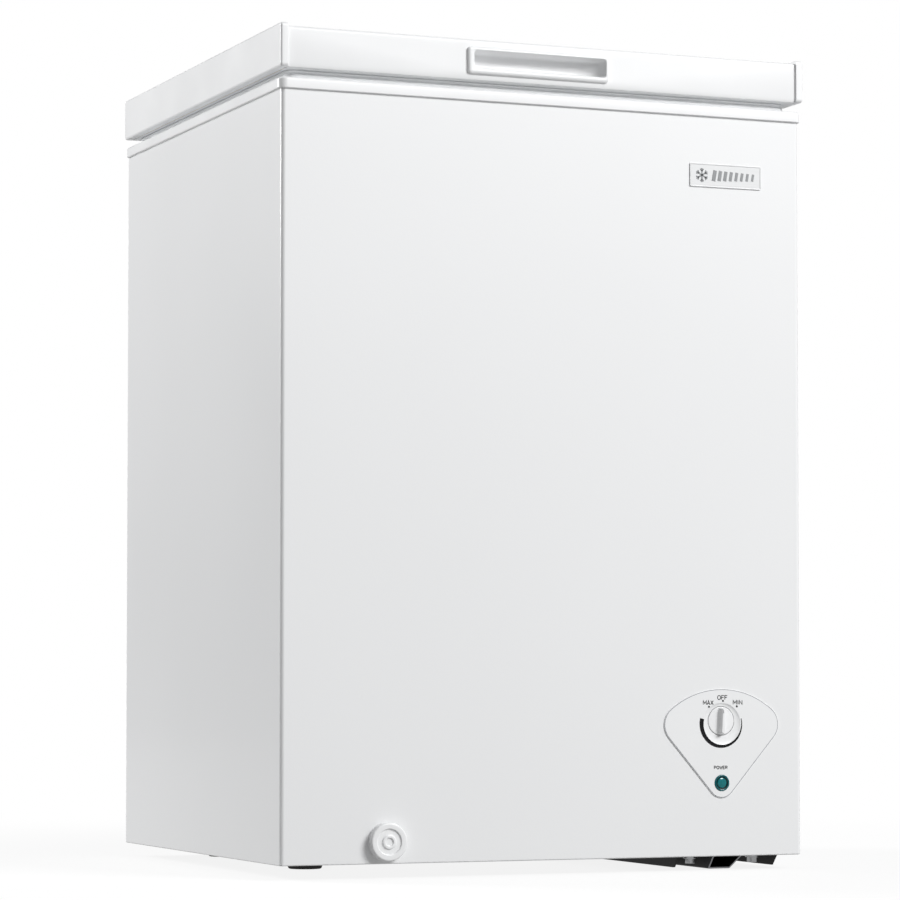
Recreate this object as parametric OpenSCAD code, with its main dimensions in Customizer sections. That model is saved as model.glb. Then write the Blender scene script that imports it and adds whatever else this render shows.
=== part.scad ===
// Compact chest freezer: white steel cabinet, top-hinged lid, compressor bay at the lower right.
// Row frame: origin on the floor under the middle, front towards -Y, +X to the right, +Z up.

/* [Cabinet] */
// Width of the steel cabinet
body_w = 560; // [540:5:600]
// Depth of the steel cabinet, front face to rear face
body_d = 495; // [480:5:530]
// Height of the cabinet's painted sides
body_h = 745; // [700:5:800]
// Floor to the cabinet's lower edge
ground_gap = 14; // [12:1:30]
// Thickness of the insulated walls
wall = 55; // [50:1:60]
// Thickness of the insulated bottom
bottom_wall = 76; // [70:1:90]
// Height of the white top frame
rim_h = 11; // [9:0.5:14]
// How far the top frame stands out of the cabinet
rim_proud = 2.7; // [1.5:0.1:4]

/* [Lid] */
// Gap between the top frame and the lid's skirt
lid_gap = 9; // [8:0.5:11]
// Height of the lid's skirt
lid_h = 40.5; // [38:0.5:50]
// How far the lid overhangs the cabinet's front and sides
lid_overhang = 3; // [2.8:0.1:5]
// Width of each lid end cap
end_cap_w = 8; // [6:0.5:12]
// How far the end caps stand out of the lid
end_cap_proud = 2.5; // [1:0.1:4]
// Lid opening angle shown
lid_open = 0; // [0:5:75]

/* [Handle] */
// Handle bezel width
handle_w = 153; // [120:1:180]
// Handle bezel height
handle_h = 27.4; // [24:0.2:30]
// Handle centre, measured from the lid's middle
handle_x = -12; // [-60:1:60]
// How far the bezel stands out of the lid
handle_proud = 3.5; // [2:0.1:4.5]

/* [Controls] */
// Control panel centre, measured from the cabinet's middle
panel_x = 189.5; // [180:0.5:200]
// Height of the dial's centre above the cabinet's lower edge
dial_up = 135.5; // [125:0.5:140]
// Height of the lamp's centre above the cabinet's lower edge
lamp_up = 73.4; // [65:0.2:75]
// Knob radius
knob_r = 14.3; // [12:0.1:16]
// Height of the drain cap's centre above the cabinet's lower edge
drain_up = 21.5; // [21:0.5:30]
// Drain cap centre, measured from the cabinet's middle
drain_x = -172; // [-200:1:-120]
// Drain cap radius
drain_cap_r = 18.5; // [16:0.5:20]

/* [Compressor bay] */
// Left side of the compressor bay, measured from the cabinet's middle
bay_x = 105; // [95:1:110]
// Height of the compressor bay's roof above the floor
bay_top = 250; // [230:5:280]
// Thickness of the foam over and beside the bay
step_wall = 45; // [35:1:50]

/* [Hidden] */

sheet = 0.8;            // steel sheet
liner_t = 1.2;          // formed plastic sheet
centre_y = -5;          // the hinge covers behind balance the drain cap in front
front_y = centre_y - body_d / 2;
rear_y = centre_y + body_d / 2;
side_x = body_w / 2;
low_z = ground_gap;
rim_z = low_z + body_h;
rim_top = rim_z + rim_h;
lid_z = rim_top + lid_gap;
lid_top = lid_z + lid_h;
lid_x = side_x + lid_overhang;
lid_front = front_y - lid_overhang;
lid_rear = rear_y + lid_overhang;
fascia_x = lid_x - end_cap_w;
body_corner_r = 4.2;

well_x = side_x - wall;
well_front = front_y + wall;
well_rear = rear_y - wall;
well_floor = low_z + bottom_wall;
step_x = bay_x - step_wall;
step_top = bay_top + step_wall;
well_r = 25;

dial_z = low_z + dial_up;
lamp_z = low_z + lamp_up;
drain_z = low_z + drain_up;
panel_face = front_y - 2;
dish_r = 20.5;
dish_drop = 3;           // the dish opens wider below the knob than above it
dish_throat = 14.9;
throat_y = front_y + 0.5;
dish_floor = front_y + 8;
shaft_r = 3;
running = 0.05;

plug_inset = 12;        // the lid's plug stays this far inside the well's walls
plug_drop = 22;
gasket_in = 9;          // the gasket's outer edge, inside the cabinet's outline
gasket_w = 16;
handle_z = lid_z + 19.3;
handle_deep = 17;

hinge_x = 200;
hinge_y = rear_y + 12;
hinge_z = rim_top + 1;
pin_r = 3;
cover_rear = rear_y + 20;
bracket_z0 = rim_z - 59;
bracket_z1 = rim_z - 3;
bracket_hole_dx = 18.5;
cover_low = rim_z - 65;
cover_skin = 2.5;

gland_x = bay_x + 17;    // the supply cord leaves here
gland_z = low_z + 56;

tray_left = 152;
tray_right = 261;
tray_t = 1.5;
tray_z = low_z + sheet;
mount_x = 207;          // middle of the compressor's four mounting bolts
mount_y = -132;
mount_dx = 35;
mount_dy = 85;
foot_plate_z = 30;
shell_r = 64;
shell_z = 34;
tube_top = rim_z - 39;      // highest run of the hot tube

badge_x0 = 156;
badge_x1 = 236.5;
badge_z0 = rim_z - 71.7;
badge_z1 = rim_z - 47.7;

basket_x0 = 15;
basket_x1 = 205;
basket_front = well_front + 7.5;
basket_rear = well_rear - 7.5;
basket_top = rim_z - 17;
basket_low = rim_z - 184;
wire = 3.2;

// ---------------------------------------------------------------- outlines and helpers

function arc(cx, cy, r, a0, a1, n) = [for (i = [0:n]) let (a = a0 + (a1 - a0) * i / n)
    [cx + r * cos(a), cy + r * sin(a)]];

function round_rect(x0, y0, x1, y1, r, n = 6) = concat(
    arc(x1 - r, y1 - r, r, 0, 90, n), arc(x0 + r, y1 - r, r, 90, 180, n),
    arc(x0 + r, y0 + r, r, 180, 270, n), arc(x1 - r, y0 + r, r, 270, 360, n));

// A flat slab with rounded upright corners.
module slab(x0, y0, x1, y1, z0, z1, r)
    translate([0, 0, z0]) linear_extrude(z1 - z0) polygon(round_rect(x0, y0, x1, y1, r));

module box(x0, y0, z0, x1, y1, z1)
    translate([x0, y0, z0]) cube([x1 - x0, y1 - y0, z1 - z0]);

// Children drawn in X and Z, given a depth from y0 to y1.
module facing_front(y0, y1)
    translate([0, y1, 0]) rotate([90, 0, 0]) linear_extrude(y1 - y0) children();

// Children drawn in Y and Z, given a width from x0 to x1.
module facing_side(x0, x1)
    translate([x0, 0, 0]) rotate([90, 0, 90]) linear_extrude(x1 - x0) children();

module rod_x(y, z, r, x0, x1)
    translate([x0, y, z]) rotate([0, 90, 0]) cylinder(r = r, h = x1 - x0, $fn = 48);

module rod_y(x, z, r, y0, y1)
    translate([x, y1, z]) rotate([90, 0, 0]) cylinder(r = r, h = y1 - y0, $fn = 64);

module rod_z(x, y, r, z0, z1)
    translate([x, y, z0]) cylinder(r = r, h = z1 - z0, $fn = 48);

module both_sides() {
    children();
    mirror([1, 0, 0]) children();
}

function unit(v) = v / norm(v);

// An arc of radius r that rounds the corner at b between a and c.
function bend(a, b, c, r, k) = let (u = unit(a - b), v = unit(c - b), half = acos(u * v) / 2,
    o = b + unit(u + v) * r / sin(half), e1 = unit(b + u * r / tan(half) - o),
    q = unit(b + v * r / tan(half) - o), e2 = unit(q - (q * e1) * e1), turn = 180 - 2 * half)
    [for (i = [0:k]) o + r * (cos(turn * i / k) * e1 + sin(turn * i / k) * e2)];

function routed(p, r, k = 4) = concat([p[0]],
    [for (i = [1:len(p) - 2]) each bend(p[i - 1], p[i], p[i + 1], r, k)], [p[len(p) - 1]]);

function heading(p, i) = i == 0 ? unit(p[1] - p[0])
    : i == len(p) - 1 ? unit(p[i] - p[i - 1]) : unit(unit(p[i + 1] - p[i]) + unit(p[i] - p[i - 1]));

function square_to(n, t) = unit(n - (n * t) * t);

function ring_axes(p, i, n) = i >= len(p) ? []
    : let (m = square_to(n, heading(p, i))) concat([m], ring_axes(p, i + 1, m));

// A round tube along a path of points.
module tube(p, r, start = [0.3, 0.5, 0.8], sides = 8) {
    axes = ring_axes(p, 0, square_to(start, heading(p, 0)));
    last = len(p) - 1;
    points = [for (i = [0:last]) let (b = cross(heading(p, i), axes[i]))
        for (k = [0:sides - 1]) p[i] + r * (cos(360 * k / sides) * axes[i] + sin(360 * k / sides) * b)];
    walls = [for (i = [0:last - 1]) for (k = [0:sides - 1]) let (a = i * sides + k,
        b = i * sides + (k + 1) % sides) each [[a, a + sides, b], [b, a + sides, b + sides]]];
    polyhedron(points, concat([[for (k = [0:sides - 1]) k]], walls,
        [[for (k = [sides - 1:-1:0]) last * sides + k]]));
}

// ---------------------------------------------------------------- cabinet

module well_space(grow, top) {
    slab(-well_x - grow, well_front - grow, well_x + grow, well_rear + grow, step_top - grow, top,
        well_r + grow);
    slab(-well_x - grow, well_front - grow, step_x + grow, well_rear + grow, well_floor - grow,
        step_top + 1, well_r + grow);
}

module cabinet_wrapper() color("white") difference() {
    union() {
        difference() {
            slab(-side_x, front_y, side_x, rear_y + body_corner_r, low_z, rim_z, body_corner_r);
            slab(-side_x + sheet, front_y + sheet, side_x - sheet, rear_y + 20, low_z - 1, rim_z + 1,
                body_corner_r - sheet);
        }
        for (s = [-1, 1]) translate([s * (side_x - 6.4), 0, 0])
            box(-6, front_y + 8, low_z, 6, rear_y, low_z + sheet);
        box(-side_x + 8, front_y + 0.4, low_z, side_x - 8, front_y + 4, low_z + sheet);
    }
    box(-side_x - 1, rear_y - sheet, low_z - 1, side_x + 1, rear_y + 40, rim_z + 1);
    rod_y(panel_x, dial_z - dish_drop / 2, dish_r + 2, front_y - 1, front_y + 5);
    rod_y(panel_x, lamp_z, 7, front_y - 1, front_y + 5);
    rod_y(drain_x, drain_z, 10, front_y - 1, front_y + 5);
}

module rear_panel() color("gainsboro") difference() {
    box(-side_x, rear_y - sheet, low_z, side_x, rear_y, rim_z);
    box(bay_x + 15, rear_y - 2, low_z + 16, side_x - 15, rear_y + 1, bay_top - 12);
    rod_y(gland_x, gland_z, 10.5, rear_y - 2, rear_y + 1);
}

module base_panel() color("silver")
    translate([0, rear_y - sheet, 0]) rotate([90, 0, 0]) linear_extrude(body_d - 2 * sheet)
        polygon([[-side_x + sheet, low_z + sheet], [bay_x, low_z + sheet], [bay_x, bay_top],
            [side_x - sheet, bay_top], [side_x - sheet, bay_top + sheet], [bay_x - sheet, bay_top + sheet],
            [bay_x - sheet, low_z + 2 * sheet], [-side_x + sheet, low_z + 2 * sheet]]);

module inner_liner() color("white") difference() {
    well_space(liner_t, rim_z);
    well_space(0, rim_z + 5);
    rod_z(drain_x, well_front + 25, 8, well_floor - 5, well_floor + 5);
}

module cabinet_foam() color("khaki") difference() {
    slab(-side_x + sheet, front_y + sheet, side_x - sheet, rear_y - sheet, low_z + 2 * sheet, rim_z,
        body_corner_r - sheet);
    well_space(liner_t, rim_z + 5);
    box(bay_x - sheet, front_y - 1, 0, side_x + 1, rear_y + 1, bay_top + sheet);
    rod_y(drain_x, drain_z, 10, front_y - 1, front_y + 20);
    drain_run(8);
}

module top_frame() color("white") difference() {
    slab(-side_x - rim_proud, front_y - rim_proud, side_x + rim_proud, rear_y + rim_proud, rim_z,
        rim_top, 8);
    slab(-well_x, well_front, well_x, well_rear, rim_z - 1, rim_top + 1, well_r);
}

module rear_grille() color("dimgray") difference() {
    facing_front(rear_y, rear_y + 2)
        polygon(round_rect(bay_x + 6, low_z + 8, side_x - 6, bay_top - 4, 5));
    for (i = [0:11]) let (z = low_z + 30 + i * 15)
        box(bay_x + 28, rear_y - 1, z, side_x - 28, rear_y + 3, z + 7);
    for (x = [bay_x + 13, side_x - 13]) for (z = [low_z + 15, bay_top - 11])
        rod_y(x, z, 2, rear_y - 1, rear_y + 3);
    rod_y(gland_x, gland_z, 7, rear_y - 1, rear_y + 3);
}

// A pan-headed screw that points to -Y, its head's underside at y.
module rear_screw(x, y, z, length) {
    rod_y(x, z, 3.6, y, y + 2.2);
    rod_y(x, z, 1.9, y - length, y);
}

module grille_screws() color("silver")
    for (x = [bay_x + 13, side_x - 13]) for (z = [low_z + 15, bay_top - 11])
        rear_screw(x, rear_y + 2, z, 1.9);

module cord_gland() color("black") difference() {
    union() {
        rod_y(gland_x, gland_z, 9.5, rear_y - 2, rear_y);
        rod_y(gland_x, gland_z, 7, rear_y, rear_y + 2);
        rod_y(gland_x, gland_z, 9.5, rear_y + 2, rear_y + 5);
    }
    rod_y(gland_x, gland_z, 4, rear_y - 3, rear_y + 6);
}

module at_feet() for (x = [-185, mount_x]) for (y = [-62, 190]) translate([x, y, 0]) children();

module feet() color("black") {
    at_feet() difference() {
        union() {
            cylinder(r1 = 17, r2 = 19, h = 4, $fn = 48);
            translate([0, 0, 4]) cylinder(r = 19, h = low_z + sheet - 4, $fn = 48);
        }
        translate([0, 0, -1]) cylinder(r = 6, h = 6, $fn = 48);
        cylinder(r = 2.6, h = 40, $fn = 48);
    }
}

module foot_screws() color("silver") at_feet() {
    translate([0, 0, 1.5]) cylinder(r = 5.2, h = 3.5, $fn = 48);
    translate([0, 0, 5]) cylinder(r = 2.6, h = low_z + sheet - 5, $fn = 48);
}

// ---------------------------------------------------------------- compressor bay

module at_mounts() for (x = [-1, 1]) for (y = [-1, 1])
    translate([mount_x + x * mount_dx, mount_y + y * mount_dy, 0]) children();

module compressor_tray() color("black") difference() {
    union() {
        box(tray_left, front_y + 1, tray_z, tray_right, rear_y - 1.5, tray_z + tray_t);
        facing_side(tray_left, tray_left + tray_t)
            polygon([[front_y + 32, 2], [front_y + 25, tray_z + 1], [rear_y - 25, tray_z + 1],
                [rear_y - 25, 2]]);
        facing_side(tray_right - tray_t, tray_right)
            polygon([[front_y + 26, 2.7], [front_y + 15, tray_z + 1], [rear_y - 25, tray_z + 1],
                [rear_y - 25, 2.7]]);
        difference() {
            facing_front(front_y + 6, front_y + 150)
                polygon([[183, tray_z + 1], [183, 0.8], [208, 0.8], [216, tray_z + 1]]);
            facing_front(front_y + 6 + tray_t, front_y + 151)
                polygon([[183 + tray_t, tray_z + 5], [183 + tray_t, 0.8 + tray_t], [207, 0.8 + tray_t],
                    [216, tray_z + 5]]);
            facing_side(180, 220)
                polygon([[front_y, 0], [front_y + 17, 0], [front_y + 6, tray_z], [front_y, tray_z]]);
        }
    }
    at_mounts() translate([0, 0, tray_z - 5]) cylinder(r = 4, h = 10, $fn = 48);
}

module compressor_shell() color([0.12, 0.12, 0.13]) difference() {
    union() {
        translate([mount_x, mount_y, 0]) rotate_extrude($fn = 64)
            polygon(concat([[0, shell_z]], [[44, shell_z]], arc(44, shell_z + 20, 20, -90, 0, 5),
                [[shell_r, 104], [shell_r + 4, 104], [shell_r + 4, 108], [shell_r, 108]],
                arc(34, 138, 30, 0, 90, 6), [[0, 168]]));
        slab(mount_x - 47, mount_y - 99, mount_x + 47, mount_y + 99, foot_plate_z, shell_z + 0.5, 12);
    }
    at_mounts() translate([0, 0, foot_plate_z - 1]) cylinder(r = 6, h = 8, $fn = 48);
}

module terminal_cover() color([0.2, 0.2, 0.2]) difference() {
    box(mount_x - 88, mount_y - 30, 62, mount_x - 50, mount_y + 30, 100);
    rod_z(mount_x, mount_y, shell_r + 0.2, 50, 110);
}

module compressor_mounts() color([0.15, 0.15, 0.15]) at_mounts() difference() {
    union() {
        translate([0, 0, tray_z + tray_t]) cylinder(r = 12, h = foot_plate_z - tray_z - tray_t, $fn = 48);
        translate([0, 0, foot_plate_z]) cylinder(r = 6, h = 7, $fn = 48);
    }
    translate([0, 0, tray_z]) cylinder(r = 4, h = 30, $fn = 48);
}

module compressor_bolts() color("silver") at_mounts() {
    translate([0, 0, 5.6]) cylinder(r = 5.8, h = 5, $fn = 6);
    translate([0, 0, 10.6]) cylinder(r = 7, h = tray_z - 10.6, $fn = 48);
    translate([0, 0, tray_z]) cylinder(r = 4, h = 38.5 - tray_z, $fn = 48);
    translate([0, 0, 37]) cylinder(r = 9, h = 1.5, $fn = 48);
    translate([0, 0, 38.5]) cylinder(r = 5.8, h = 5, $fn = 6);
}

module filter_drier() color([0.72, 0.45, 0.2]) translate([150, 170, 0]) {
    translate([0, 0, 70]) cylinder(r1 = 4, r2 = 10, h = 12, $fn = 48);
    translate([0, 0, 82]) cylinder(r = 10, h = 90, $fn = 48);
    translate([0, 0, 172]) cylinder(r1 = 10, r2 = 4, h = 12, $fn = 48);
}

suction_path = [[232, -67, 76], [232, -20, 76], [232, -20, 200], [232, 60, 200], [232, 60, bay_top]];
discharge_path = [[190, -66, 85], [190, 20, 85], [150, 60, 85], [150, 140, 40], [150, 170, 40],
    [150, 170, 70]];

module suction_line() color([0.72, 0.45, 0.2]) difference() {
    tube(routed(suction_path, 12), 4.8);
    rod_z(mount_x, mount_y, shell_r + 0.2, 50, 140);
}

module discharge_line() color([0.72, 0.45, 0.2]) difference() {
    tube(routed(discharge_path, 9), 3.2);
    rod_z(mount_x, mount_y, shell_r + 0.2, 50, 100);
}

// The hot tube lies against the side sheets in upright runs.
function upright_runs(x, y0, y1, runs, z0, z1) = [for (i = [0:runs - 1])
    let (y = y0 + (y1 - y0) * i / (runs - 1))
    each i % 2 == 0 ? [[x, y, z0], [x, y, z1]] : [[x, y, z1], [x, y, z0]]];

module condenser_coil() color([0.25, 0.25, 0.27]) {
    x = side_x - sheet - 3.2;
    for (run = [[-x, 60], [x, bay_top + 30]])
        tube(routed(upright_runs(run[0], front_y + 30, rear_y - 30, 8, run[1], tube_top), 15), 2.6,
            [1, 0, 0], 6);
}

// The cold tube winds round the outside of the liner.
function winding(turns, z0, pitch, off) = [for (i = [0:turns - 1]) each
    [[-well_x - off, well_rear + off, z0 + i * pitch], [-well_x - off, well_front - off, z0 + i * pitch],
        [well_x + off, well_front - off, z0 + i * pitch],
        [well_x + off, well_rear + off, z0 + i * pitch + pitch * 0.5]]];

module evaporator_coil() color([0.7, 0.7, 0.72])
    tube(routed(winding(6, 330, 62, liner_t + 4.2), well_r + liner_t + 4.2), 3.5, [0, 0, 1], 6);

module wiring() color([0.15, 0.15, 0.15]) {
    tube(routed([[panel_x, front_y + 40, dial_z + 8], [panel_x, front_y + 46, dial_z + 60],
        [124, -190, dial_z + 60], [124, -150, dial_z + 30], [124, mount_y, 100]], 8), 2.4);
    tube(routed([[130, mount_y + 30, 80], [116, mount_y + 60, 80], [116, 160, gland_z],
        [gland_x, 200, gland_z], [gland_x, rear_y - 3, gland_z]], 10), 2.8);
}

// ---------------------------------------------------------------- front of the cabinet

// The control panel's outline: three round corners, straight flanks and a bowed top.
crown_r = 90;
shoulder_r = 20;
toe_r = 15;
shoulder_dx = 44;
crown_z = dial_up + 32 - crown_r;
shoulder_up = crown_z + sqrt(pow(crown_r - shoulder_r, 2) - pow(shoulder_dx, 2));
crown_half = atan2(shoulder_dx, shoulder_up - crown_z);
flank_reach = norm([shoulder_dx, shoulder_up - lamp_up]);
flank_a = atan2(shoulder_up - lamp_up, shoulder_dx) + acos((shoulder_r - toe_r) / flank_reach);

function panel_outline(inset) = concat(
    arc(panel_x, low_z + crown_z, crown_r - inset, 90 - crown_half, 90 + crown_half, 14),
    arc(panel_x - shoulder_dx, low_z + shoulder_up, shoulder_r - inset, 90 + crown_half, 360 - flank_a, 8),
    arc(panel_x, lamp_z, toe_r - inset, 360 - flank_a, 180 + flank_a, 8),
    arc(panel_x + shoulder_dx, low_z + shoulder_up, shoulder_r - inset, 180 + flank_a, 450 - crown_half, 8));

// A cone that leans from the wide rim at the panel's face to the throat round the knob.
module dish_funnel() hull() {
    rod_y(panel_x, dial_z - dish_drop, dish_r, panel_face - 0.5, panel_face);
    rod_y(panel_x, dial_z, dish_throat + 0.4, throat_y - 0.1, throat_y);
}

module control_panel() color("white") difference() {
    union() {
        facing_front(panel_face, front_y) polygon(panel_outline(0));
        rod_y(panel_x, dial_z - dish_drop / 2, dish_r + 1.5, front_y, dish_floor + 1.5);
    }
    dish_funnel();
    rod_y(panel_x, dial_z, dish_throat, panel_face + 1, dish_floor);
    rod_y(panel_x, dial_z, shaft_r + 0.3, panel_face - 1, dish_floor + 2);
    rod_y(panel_x, lamp_z, 6.6, panel_face - 1, front_y + 1);
}

module thermostat() color("slategray") {
    rod_y(panel_x, dial_z, shaft_r, front_y, dish_floor + 1.5);
    box(panel_x - 20, dish_floor + 1.5, dial_z - 15, panel_x + 20, dish_floor + 28, dial_z + 18);
    rod_z(panel_x, dish_floor + 14, 3, dial_z + 18, dial_z + 40);
}

module thermostat_knob() color("white") difference() {
    union() {
        rod_y(panel_x, dial_z, knob_r, throat_y + 0.2, dish_floor - 0.5);
        translate([panel_x, throat_y + 0.2, dial_z]) rotate([90, 0, 0])
            cylinder(r1 = knob_r, r2 = knob_r - 0.6, h = 0.6, $fn = 64);
        facing_front(panel_face - 4, throat_y + 0.2)
            polygon([[panel_x - 4.2, dial_z - knob_r + 1], [panel_x + 4.2, dial_z - knob_r + 1],
                [panel_x + 2.6, dial_z + knob_r - 1.8], [panel_x - 2.6, dial_z + knob_r - 1.8]]);
    }
    rod_y(panel_x, dial_z, shaft_r + running, front_y - 0.5, dish_floor);
}

module lamp_housing() color([0.1, 0.12, 0.12]) difference() {
    union() {
        rod_y(panel_x, lamp_z, 8.2, panel_face - 0.8, panel_face);
        rod_y(panel_x, lamp_z, 6.6, panel_face, front_y + 24);
    }
    rod_y(panel_x, lamp_z, 5.2, panel_face - 1, front_y + 16);
}

module lamp_lens() color([0.0, 0.35, 0.33])
    rod_y(panel_x, lamp_z, 5.2, panel_face - 1, front_y + 15.5);

module badge_plate() color("silver")
    facing_front(front_y - 1.2, front_y) polygon(round_rect(badge_x0, badge_z0, badge_x1, badge_z1, 1.5));

module drain_spout() color("white") difference() {
    union() {
        rod_y(drain_x, drain_z, drain_cap_r, front_y - 3, front_y);
        rod_y(drain_x, drain_z, 10, front_y, front_y + 18);
    }
    rod_y(drain_x, drain_z, 8, front_y - 4, front_y + 19);
}

module drain_run(r) {
    rod_y(drain_x, drain_z, r, front_y + 18, well_front + 25);
    translate([drain_x, well_front + 25, drain_z]) sphere(r = r, $fn = 48);
    rod_z(drain_x, well_front + 25, r, drain_z, well_floor);
}

module drain_tube() color("whitesmoke") difference() {
    drain_run(8);
    rod_y(drain_x, drain_z, 6, front_y + 17, well_front + 25);
    translate([drain_x, well_front + 25, drain_z]) sphere(r = 6, $fn = 48);
    rod_z(drain_x, well_front + 25, 6, drain_z, well_floor + 1);
}

module drain_cap() color("white") difference() {
    union() {
        rod_y(drain_x, drain_z, drain_cap_r, front_y - 8.4, front_y - 3.1);
        translate([drain_x, front_y - 8.4, drain_z]) rotate([90, 0, 0])
            cylinder(r1 = drain_cap_r, r2 = drain_cap_r - 1.6, h = 1.6, $fn = 64);
        rod_y(drain_x, drain_z, 8 - running, front_y - 3.1, front_y + 12);
    }
    rod_y(drain_x, drain_z, 12.5, front_y - 12, front_y - 8.8);
}

module drain_plug() color("white") translate([drain_x, well_front + 25, 0]) {
    translate([0, 0, well_floor - 12]) cylinder(r = 6 - running, h = 12, $fn = 48);
    translate([0, 0, well_floor + 0.1]) cylinder(r = 11, h = 3, $fn = 48);
    translate([0, 0, well_floor - 1]) cylinder(r = 5, h = 3, $fn = 48);
    translate([-7, -1.5, well_floor + 3]) cube([14, 3, 11]);
}

// ---------------------------------------------------------------- hinges, drawn on the right

module hinge_bracket() color("silver") difference() {
    union() {
        box(hinge_x - 24, rear_y, bracket_z0, hinge_x + 24, rear_y + 2, bracket_z1);
        for (s = [-1, 1]) translate([s * 11.5, 0, 0]) facing_side(hinge_x - 1.5, hinge_x + 1.5)
            polygon(concat([[rear_y + 2, hinge_z - 55], [rear_y + 14, hinge_z - 31]],
                arc(hinge_y, hinge_z, 6, 0, 180, 8),
                [[hinge_y - 6, hinge_z - 11], [rear_y + 3.2, bracket_z1], [rear_y + 2, bracket_z1]]));
    }
    rod_x(hinge_y, hinge_z, pin_r, hinge_x - 20, hinge_x + 20);
    for (s = [-1, 1]) for (z = [bracket_z0 + 8, bracket_z1 - 8])
        rod_y(hinge_x + s * bracket_hole_dx, z, 2, rear_y - 1, rear_y + 4);
}

module hinge_bracket_left() mirror([1, 0, 0]) hinge_bracket();
module hinge_bracket_right() hinge_bracket();

module hinge_pins() color("gray") both_sides() {
    rod_x(hinge_y, hinge_z, pin_r, hinge_x - 13, hinge_x + 13);
    rod_x(hinge_y, hinge_z, 4.6, hinge_x + 13, hinge_x + 15);
}

module hinge_spring(at) color("gray")
    tube([for (i = [0:60]) [at + 3.6 * i / 60, hinge_y + 4.1 * cos(i * 18), hinge_z + 4.1 * sin(i * 18)]],
        0.55, [1, 0, 0], 6);

module hinge_springs() both_sides() hinge_spring(hinge_x + 5.6);

module hinge_cover() color("white") difference() {
    slab(hinge_x - 30, rear_y, hinge_x + 30, cover_rear, cover_low, hinge_z - 8, 4);
    box(hinge_x - 30 + cover_skin, rear_y - 1, cover_low + cover_skin, hinge_x + 30 - cover_skin,
        cover_rear - cover_skin, hinge_z - 8 - cover_skin);
    box(hinge_x - 14.5, rear_y - 1, rim_z - 9, hinge_x + 14.5, cover_rear - 1, hinge_z);
    box(hinge_x - 40, rear_y - 10, cover_low - 4, hinge_x + 40, rear_y, hinge_z);
    box(hinge_x - 40, rear_y - 1, rim_z - 1.4, hinge_x + 40, rear_y + rim_proud + 0.8, hinge_z);
}

module hinge_cover_left() mirror([1, 0, 0]) hinge_cover();
module hinge_cover_right() hinge_cover();

module bracket_screws() color("silver") both_sides()
    for (s = [-1, 1]) for (z = [bracket_z0 + 8, bracket_z1 - 8])
        rear_screw(hinge_x + s * bracket_hole_dx, rear_y + 2, z, 2);

module hinge_leaf() color("silver") difference() {
    union() {
        facing_front(lid_rear, lid_rear + 2)
            polygon(round_rect(hinge_x - 14, lid_z + 3, hinge_x + 14, lid_top - 5, 3));
        facing_side(hinge_x - 5, hinge_x + 5)
            polygon([[lid_rear + 0.5, lid_z + 5], [hinge_y - 5.4, hinge_z + 2], [hinge_y + 5.2, hinge_z + 3],
                [lid_rear + 2, lid_z + 14], [lid_rear + 0.5, lid_z + 14]]);
        rod_x(hinge_y, hinge_z, 6, hinge_x - 5, hinge_x + 5);
    }
    rod_x(hinge_y, hinge_z, pin_r + running, hinge_x - 20, hinge_x + 20);
    for (s = [-1, 1]) rod_y(hinge_x + s * 9.5, lid_top - 12, 2, lid_rear - 1, lid_rear + 3);
}

module hinge_leaf_left() mirror([1, 0, 0]) hinge_leaf();
module hinge_leaf_right() hinge_leaf();

module leaf_screws() color("silver") both_sides()
    for (s = [-1, 1]) rear_screw(hinge_x + s * 9.5, lid_rear + 2, lid_top - 12, 2);

// ---------------------------------------------------------------- lid

lip = 10;
skin = 2;

// The lid's skin in section: top, front and rear skirts, and the lips turned in under them.
module lid_section() difference() {
    polygon(round_rect(lid_front, lid_z, lid_rear, lid_top, 3));
    polygon([[lid_front + skin, lid_z + skin], [lid_rear - skin, lid_z + skin],
        [lid_rear - skin, lid_top - skin], [lid_front + skin, lid_top - skin]]);
    polygon([[lid_front + lip, lid_z - 1], [lid_rear - lip, lid_z - 1], [lid_rear - lip, lid_z + skin + 1],
        [lid_front + lip, lid_z + skin + 1]]);
}

module pocket_space(grow, y0, y1) facing_front(y0, y1)
    polygon(round_rect(handle_x - handle_w / 2 + 7 - grow, handle_z - handle_h / 2 + 5 - grow,
        handle_x + handle_w / 2 - 4 + grow, handle_z + handle_h / 2 - 4 + grow, 3));

module lid_outer() color("white") difference() {
    facing_side(-fascia_x, fascia_x) lid_section();
    pocket_space(1.5, lid_front - 1, lid_front + skin + 1);
}

module lid_end_cap() color("white") facing_side(fascia_x, lid_x)
    polygon(round_rect(lid_front - end_cap_proud, lid_z, lid_rear + end_cap_proud,
        lid_top + end_cap_proud, 3.5));

module lid_end_cap_left() mirror([1, 0, 0]) lid_end_cap();
module lid_end_cap_right() lid_end_cap();

module plug_slab(grow, z0, z1) slab(-well_x + plug_inset - grow, well_front + plug_inset - grow,
    well_x - plug_inset + grow, well_rear - plug_inset + grow, z0, z1, 18 + grow);

module lid_inner() color("white") difference() {
    union() {
        box(-fascia_x, lid_front + lip, lid_z, fascia_x, lid_rear - lip, lid_z + liner_t);
        plug_slab(0, lid_z - plug_drop, lid_z + 0.5);
    }
    plug_slab(-liner_t, lid_z - plug_drop + liner_t, lid_z + 5);
}

module lid_foam() color("khaki") difference() {
    union() {
        box(-fascia_x, lid_front + skin, lid_z + skin, fascia_x, lid_rear - skin, lid_top - skin);
        box(-fascia_x, lid_front + lip, lid_z + liner_t, fascia_x, lid_rear - lip, lid_z + skin + 1);
        plug_slab(-liner_t, lid_z - plug_drop + liner_t, lid_z + 5);
    }
    pocket_space(1.5, lid_front, lid_front + handle_deep);
}

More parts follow.
